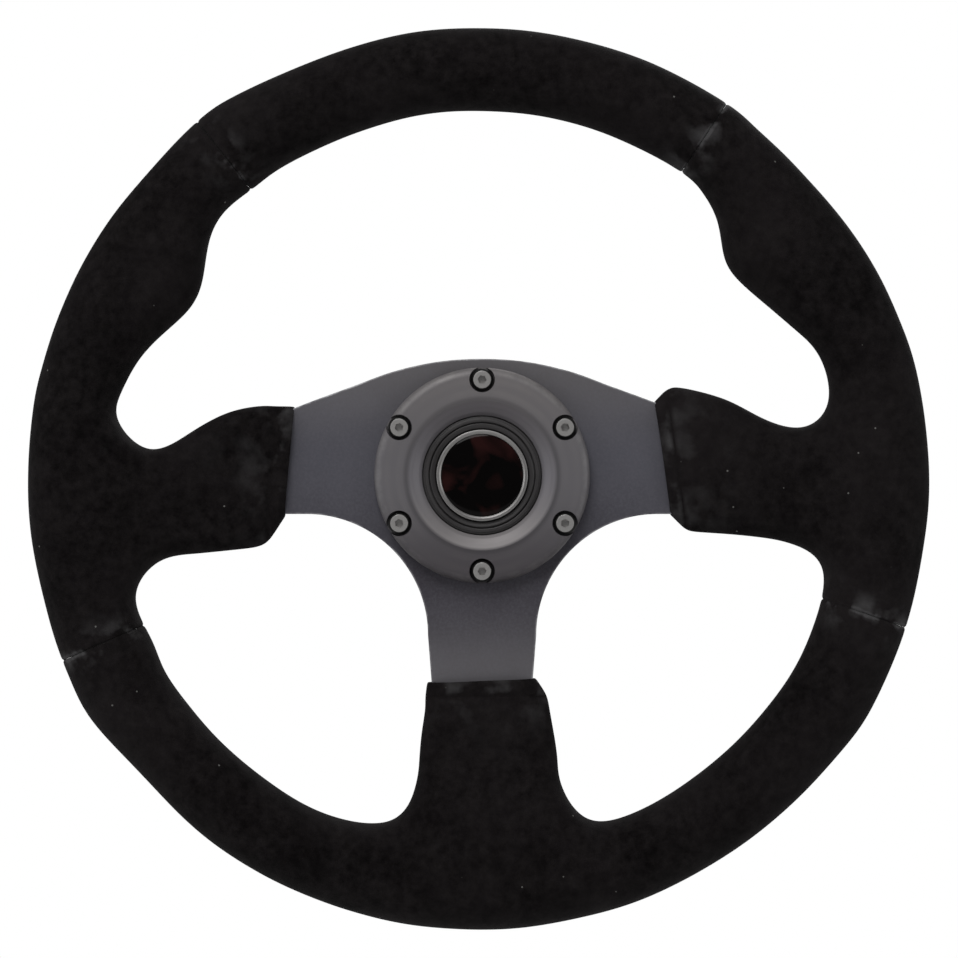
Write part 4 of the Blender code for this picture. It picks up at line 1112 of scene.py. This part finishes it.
disc_front, disc_rear = span("horn_disc")
profile = [(0, disc_rear, 0), (DISC_RADIUS, disc_rear, 0.1)]
for degrees in range(6, 90, 7):
    angle = math.radians(degrees)
    profile.append((DISC_RADIUS * math.cos(angle), disc_rear - 0.5 - DISC_DOME * math.sin(angle), 0))
profile.append((0, disc_front, 0))
bm = turned(profile, HORN_STEPS, 3)
finished(bm, "glossy_disc", "horn_button", polished_black(), ("horn_disc",), 40)


# ---- Springs. Round steel wire wound about the steering axis, with a closed turn at each end.


def wound_spring(mean_radius, wire, y_start, y_end, turns):
    """A coil with a closed turn at each end. Sizes in mm, wire being its radius."""
    closed_rise = 1.02 * wire * 2
    bm = bmesh.new()
    place = Matrix.Translation((mean_radius * MM, (y_start + wire) * MM, 0))
    bmesh.ops.create_circle(bm, cap_ends=True, segments=10, radius=wire * MM, matrix=place)
    geom = bm.faces[:]
    free_rise = y_end - y_start - 2 * wire - 2 * closed_rise
    for turn, rise in ((1, closed_rise), (turns, free_rise), (1, closed_rise)):
        steps = round(36 * turn)
        made = bmesh.ops.spin(
            bm, geom=geom, axis=(0, 1, 0), cent=(0, 0, 0), dvec=(0, rise * MM / steps, 0),
            angle=math.tau * turn, steps=steps,
        )
        geom = [item for item in made["geom_last"] if isinstance(item, bmesh.types.BMFace)]
    bmesh.ops.recalc_face_normals(bm, faces=bm.faces)
    return bm


def spring_steel():
    """Bright drawn wire with faint die marks."""
    made, tree, shader = material("spring_steel")
    fine = placed(tree, grain, Scale=1500)
    tree.links.new(mixed(tree, fine["Waver"], (0.38, 0.37, 0.36), (0.55, 0.54, 0.53)), shader["Base Color"])
    tree.links.new(remap(tree, fine["Waver"], 0, 1, 0.22, 0.38), shader["Roughness"])
    shader["Metallic"].default_value = 1
    bumped(tree, shader, fine["Height"], 0.2, 0.02)
    return made


wire_look = spring_steel()
for name, mean_radius, wire, turns, joint, keep in (
    ("horn_return_spring", 16.5, 0.4, 1.5, "horn_press", 0.554),
    ("collar_spring", 24.3, 0.75, 3, "collar_pull", 0.62),
    ("plunger_spring", 3, 0.2, 3, "plunger_push", 0.583),
):
    spring_front, spring_rear = span(name)
    bm = wound_spring(mean_radius, wire, spring_front, spring_rear, turns)
    spring = finished(bm, "wound_" + name, "wheel", wire_look, (name,), 50)
    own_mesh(spring)


# ---- Coupler body. Flange, shoulder and barrel turned in one from aluminium bar and anodised
# dark, with six screw holes, six seats for the locking balls and a groove for the snap ring.
COUPLER_STEPS = 144
BALL_SEAT_RADIUS = 3.3
BALL_Y = -10
COUPLER_PROFILE = (  # radius, y and rounding
    (26, -50, 0.3), (42, -50, 0.4), (42, -42, 0.6), (30, -42, 0.8), (30, -39.6, 0.1),
    (29.4, -39.2, 0.1), (29.4, -38.8, 0.1), (30, -38.4, 0.1), (30, -34, 0.6), (22, -34, 0.5),
    (22, -2.6, 0.1), (20.5, -2.6, 0), (20.5, -1, 0), (22, -1, 0.1), (22, 0, 0.4), (18, 0, 0.1),
    (17, -1, 0.2), (17, -14, 0), (19, -14, 0), (19, -36, 0.2), (26, -36, 0.4),
)
bm = turned(COUPLER_PROFILE, COUPLER_STEPS, 4)
edge_marks(bm, 15)
bm = bored("flange_screw_holes", bm, BOLT_PLACES, BOLT_HOLE, -51, -41)
seats = bmesh.new()
for degrees in range(0, 360, 60):
    turn = Matrix.Rotation(math.radians(degrees), 4, "Y") @ Matrix.Translation((19.5 * MM, BALL_Y * MM, 0))
    turn = turn @ Matrix.Rotation(math.radians(90), 4, "Y")
    rod(seats, BALL_SEAT_RADIUS, 9, turn)
bm = subtract("coupler", bm, seats)
dark_turned = turned_finish(
    "dark_turned_anodised", (0.03, 0.03, 0.034), (0.045, 0.045, 0.05), (0.3, 0.3, 0.31),
    roughness=0.34, metallic=0.7, strength=0.4, amount=0.8,
)
finished(bm, "coupler", "wheel", dark_turned, ("coupler_body",), 30)


# ---- Splined sleeve. Ground steel with eighteen broached teeth, their ends chamfered so that
# they find the column's. It is pressed into the body from the front.
TEETH = 18
TOOTH_ROOT = 16.6
TOOTH_CREST = 14.8
TOOTH_STATIONS = (  # share of a tooth's pitch, and whether it lies on the crest
    (0, False), (0.14, False), (0.28, False), (0.42, False),
    (0.54, True), (0.65, True), (0.77, True), (0.88, True),
)


def tooth_ring(bm, y, crest, outer=None):
    """One loop of edges across the sleeve: round its teeth, or round its outside."""
    corners = []
    for tooth in range(TEETH):
        for share, raised in TOOTH_STATIONS:
            angle = math.tau * (tooth + share) / TEETH
            radius = outer or (crest if raised else TOOTH_ROOT)
            place = (radius * math.cos(angle) * MM, y * MM, radius * math.sin(angle) * MM)
            corners.append(bm.verts.new(place))
    return [bm.edges.new(pair) for pair in zip(corners, corners[1:] + corners[:1])]


sleeve_front, sleeve_rear = span("spline_sleeve")
sleeve_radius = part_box("spline_sleeve")[1].x / MM
bm = bmesh.new()
loops = [
    tooth_ring(bm, sleeve_front + 0.3, 0, sleeve_radius),
    tooth_ring(bm, sleeve_front, 0, sleeve_radius - 0.3),
    tooth_ring(bm, sleeve_front, TOOTH_CREST + 1),
    tooth_ring(bm, sleeve_front + 1, TOOTH_CREST),
    tooth_ring(bm, sleeve_rear - 1.4, TOOTH_CREST),
    tooth_ring(bm, sleeve_rear, TOOTH_CREST + 1.2),
    tooth_ring(bm, sleeve_rear, 0, sleeve_radius - 0.3),
    tooth_ring(bm, sleeve_rear - 0.3, 0, sleeve_radius),
]
for first, second in zip(loops, loops[1:] + loops[:1]):
    bmesh.ops.bridge_loops(bm, edges=first + second)
bmesh.ops.recalc_face_normals(bm, faces=bm.faces)
edge_marks(bm, 25)
ground_steel = turned_finish(
    "ground_steel", (0.33, 0.325, 0.32), (0.45, 0.44, 0.43), (0.62, 0.61, 0.6),
    roughness=0.3, metallic=1, strength=0.3, amount=0.7,
)
finished(bm, "splined_sleeve", "wheel", ground_steel, ("spline_sleeve",), 25)


# ---- Locking balls. Six 6 mm hardened steel balls, polished, that the collar holds inwards in
# the column's groove.
BALL_RADIUS = 3 * MM


def polished_steel():
    made, tree, shader = material("polished_steel")
    fine = placed(tree, grain, Scale=700)
    tree.links.new(mixed(tree, fine["Waver"], (0.56, 0.55, 0.54), (0.68, 0.67, 0.66)), shader["Base Color"])
    tree.links.new(remap(tree, fine["Height"], 0.3, 0.7, 0.08, 0.2), shader["Roughness"])
    shader["Metallic"].default_value = 1
    bumped(tree, shader, fine["Height"], 0.08, 0.02)
    return made


ball_look = polished_steel()
for number in range(1, 7):
    low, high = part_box(f"locking_ball_{number}")
    middle = (low + high) / 2
    bm = bmesh.new()
    bmesh.ops.create_icosphere(bm, subdivisions=4, radius=BALL_RADIUS, matrix=Matrix.Translation(middle))
    flat = [corner for corner in bm.verts if (corner.co - middle).normalized().y > 0.995]
    for corner in flat:  # a small wear flat where the ball rubs its seat
        corner.co.y = middle.y + BALL_RADIUS * 0.995
    name = f"locking_ball_{number}"
    finished(bm, f"steel_ball_{number}", name, ball_look, (name,), 0)


# ---- Release collar. Turned aluminium, anodised grey, with a raised lip for the fingers and a
# diamond-knurled band. It slides forwards on the barrel against its spring.
COLLAR_STEPS = 168
KNURL_START = -22.4
KNURL_PITCH = 1
KNURL_ROWS = 12
KNURL_DEPTH = 0.42
COLLAR_BAND_RADIUS = 28
knurl = []
for row in range(KNURL_ROWS, -1, -1):
    knurl.append((COLLAR_BAND_RADIUS, KNURL_START + KNURL_PITCH * row, 0))
bm = turned(
    (
        (31, -2.6, 0.7), (31, -6, 0.7), (COLLAR_BAND_RADIUS, -8.6, 1.2), *knurl,
        (COLLAR_BAND_RADIUS, -24, 0.6), (26.6, -24, 0.1), (26.6, -15, 0.3), (22.3, -15, 0.2),
        (22.3, BALL_Y, 0), (23.67, -2.6, 0.3),
    ),
    COLLAR_STEPS,
    4,
)
roots = []
for corner in bm.verts:
    radius = math.hypot(corner.co.x, corner.co.z) / MM
    row = (corner.co.y / MM - KNURL_START) / KNURL_PITCH
    if radius > COLLAR_BAND_RADIUS - 0.05 and 0.5 < row < KNURL_ROWS - 0.5:
        column = math.atan2(corner.co.z, corner.co.x) / math.tau * COLLAR_STEPS
        if (round(row) + round(column)) % 2:
            corner.co.x *= 1 - KNURL_DEPTH / radius
            corner.co.z *= 1 - KNURL_DEPTH / radius
            roots.append(corner)
cut = list(dict.fromkeys(face for corner in roots for face in corner.link_faces))
bmesh.ops.triangulate(bm, faces=cut, quad_method="SHORT_EDGE")  # each crest becomes a pyramid
edge_marks(bm, 12)
worn = bm.verts.layers.float["worn"]
for corner in bm.verts:
    radius = math.hypot(corner.co.x, corner.co.z) / MM
    if 0.1 < COLLAR_BAND_RADIUS - radius < 0.6:
        corner[worn] = 0.0
collar_finish = turned_finish(
    "grey_collar_anodised", (0.085, 0.082, 0.086), (0.11, 0.107, 0.11), (0.33, 0.33, 0.33),
    roughness=0.34, metallic=0.7, strength=0.3, amount=0.7,
)
finished(bm, "knurled_collar", "release_collar", collar_finish, ("release_collar",), 18)


# ---- Snap ring. Stamped spring steel with two eyes for the pliers, in the barrel's groove behind
# the collar.
ring_low, ring_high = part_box("snap_ring")
inner, outer = 20.8, ring_high.x / MM
front_y, rear_y = ring_low.y / MM, ring_high.y / MM
profile = [(inner, rear_y, 0.15), (outer, rear_y, 0.3), (outer, front_y, 0.3), (inner, front_y, 0.15)]
bm = bmesh.new()
corners = [bm.verts.new((radius * MM, y * MM, 0)) for radius, y in rounded(profile, 3)]
end_face = bm.faces.new(corners)
bmesh.ops.rotate(bm, verts=bm.verts, matrix=Matrix.Rotation(math.radians(105), 3, "Y"))
bmesh.ops.spin(
    bm, geom=[end_face], axis=(0, 1, 0), cent=(0, 0, 0), angle=math.radians(330), steps=110
)
middle_radius = (inner + outer) / 2
eyes = []
for degrees in (-109, -71):
    angle = math.radians(degrees)
    eyes.append((middle_radius * math.cos(angle), middle_radius * math.sin(angle)))
bm = bored("snap_ring_eyes", bm, eyes, 0.9, front_y - 1, rear_y + 1, steps=24)
edge_marks(bm)
blued = turned_finish(
    "blued_spring_steel", (0.1, 0.1, 0.105), (0.16, 0.16, 0.165), (0.4, 0.4, 0.4),
    roughness=0.36, metallic=1, strength=0.2,
)
finished(bm, "circlip", "wheel", blued, ("snap_ring",), 30)


# ---- Horn's sliding contact. A moulded disc in the coupler's recess carries a sprung brass pin,
# which touches the column's contact through the middle of the splines.
bm = turned(
    (
        (25.6, -36.3, 0.3), (25.6, -39, 0.3), (20, -39, 0), (20, -38.4, 0.1), (17.6, -38.4, 0.1),
        (17.6, -39, 0), (8, -39, 0.5), (8, -44, 0.4), (4.2, -44, 0.2), (4.2, -38, 0), (2.7, -38, 0),
        (2.7, -36.3, 0.3), (6, -36.3, 0), (6, -36.6, 0.1), (13, -36.6, 0.1), (13, -36.3, 0),
    ),
    96,
    3,
)
finished(bm, "contact_carrier", "wheel", black_plastic, ("contact_insulator",), 30)


def brass_look():
    """Turned brass, tarnished in patches and bright along its edges."""
    made, tree, shader = material("tarnished_brass")
    fine = placed(tree, grain, Scale=1400)
    wear = placed(tree, worn_edges, Amount=0.8)["Wear"]
    tint = mixed(tree, fine["Waver"], (0.42, 0.27, 0.09), (0.56, 0.39, 0.15))
    tree.links.new(mixed(tree, wear, tint, (0.72, 0.53, 0.24)), shader["Base Color"])
    tree.links.new(remap(tree, fine["Waver"], 0, 1, 0.24, 0.42), shader["Roughness"])
    shader["Metallic"].default_value = 1
    bumped(tree, shader, fine["Height"], 0.2, 0.015)
    return made


brass = brass_look()
pin_front, pin_rear = span("contact_plunger")
bm = turned(
    (
        (0, pin_front, 0), (3.8, pin_front, 0.3), (3.8, pin_front + 1.7, 0.3),
        (2.4, pin_front + 1.7, 0.2), (2.4, pin_rear - 1.6, 0.1), (2.15, pin_rear - 1.4, 0.1),
        (2.15, pin_rear, 1.2), (0, pin_rear, 0),
    ),
    48,
    5,
)
edge_marks(bm)
finished(bm, "contact_pin", "contact_plunger", brass, ("contact_plunger",), 30)


# ---- Hidden pieces. The moulded core is cut back at the sleeves' mouths, where the hide turns in.
# The steel hoop and the horn's cup, cap and contacts keep the frame's own shapes.
CUT_BACK = 2 * MM
CUT_BACK_REACH = 8 * MM  # from a corner of a sleeve's mouth


def moulded_foam():
    """Dark self-skinned polyurethane, with its closed pores."""
    made, tree, shader = material("moulded_foam")
    where = node(tree, "TexCoord").outputs["Object"]
    pores = node(tree, "TexVoronoi", {"Vector": where, "Scale": 700}).outputs["Distance"]
    tree.links.new(mixed(tree, pores, (0.006, 0.006, 0.006), (0.014, 0.0135, 0.013)), shader["Base Color"])
    shader["Roughness"].default_value = 0.88
    shader["Specular IOR Level"].default_value = 0.15
    bumped(tree, shader, pores, 0.3, 0.15)
    return made


core = bmesh.new()
core.from_mesh(bpy.data.objects["grip_foam"].data)
bmesh.ops.remove_doubles(core, verts=core.verts, dist=1e-6)
core.normal_update()
mouths = [Vector(corner) * MM for stations in SLEEVES.values() for corner in stations[-1][:2]]
for corner in core.verts:
    flat = Vector((corner.co.x, corner.co.z))
    if min((flat - mouth).length for mouth in mouths) < CUT_BACK_REACH:
        corner.co -= corner.normal * CUT_BACK
finished(core, "moulded_core", "wheel", moulded_foam(), ("grip_foam",), 40)

for look, names in (
    (wire_look, ("rim_hoop",)),
    (black_plastic, ("horn_cup", "horn_cap")),
    (brass, ("horn_contact_disc", "horn_fixed_contact", "contact_terminal")),
    (brass, ("horn_terminal_1", "horn_terminal_2")),
):
    for name in names:
        for place in bpy.data.objects[name].material_slots:
            place.material = look
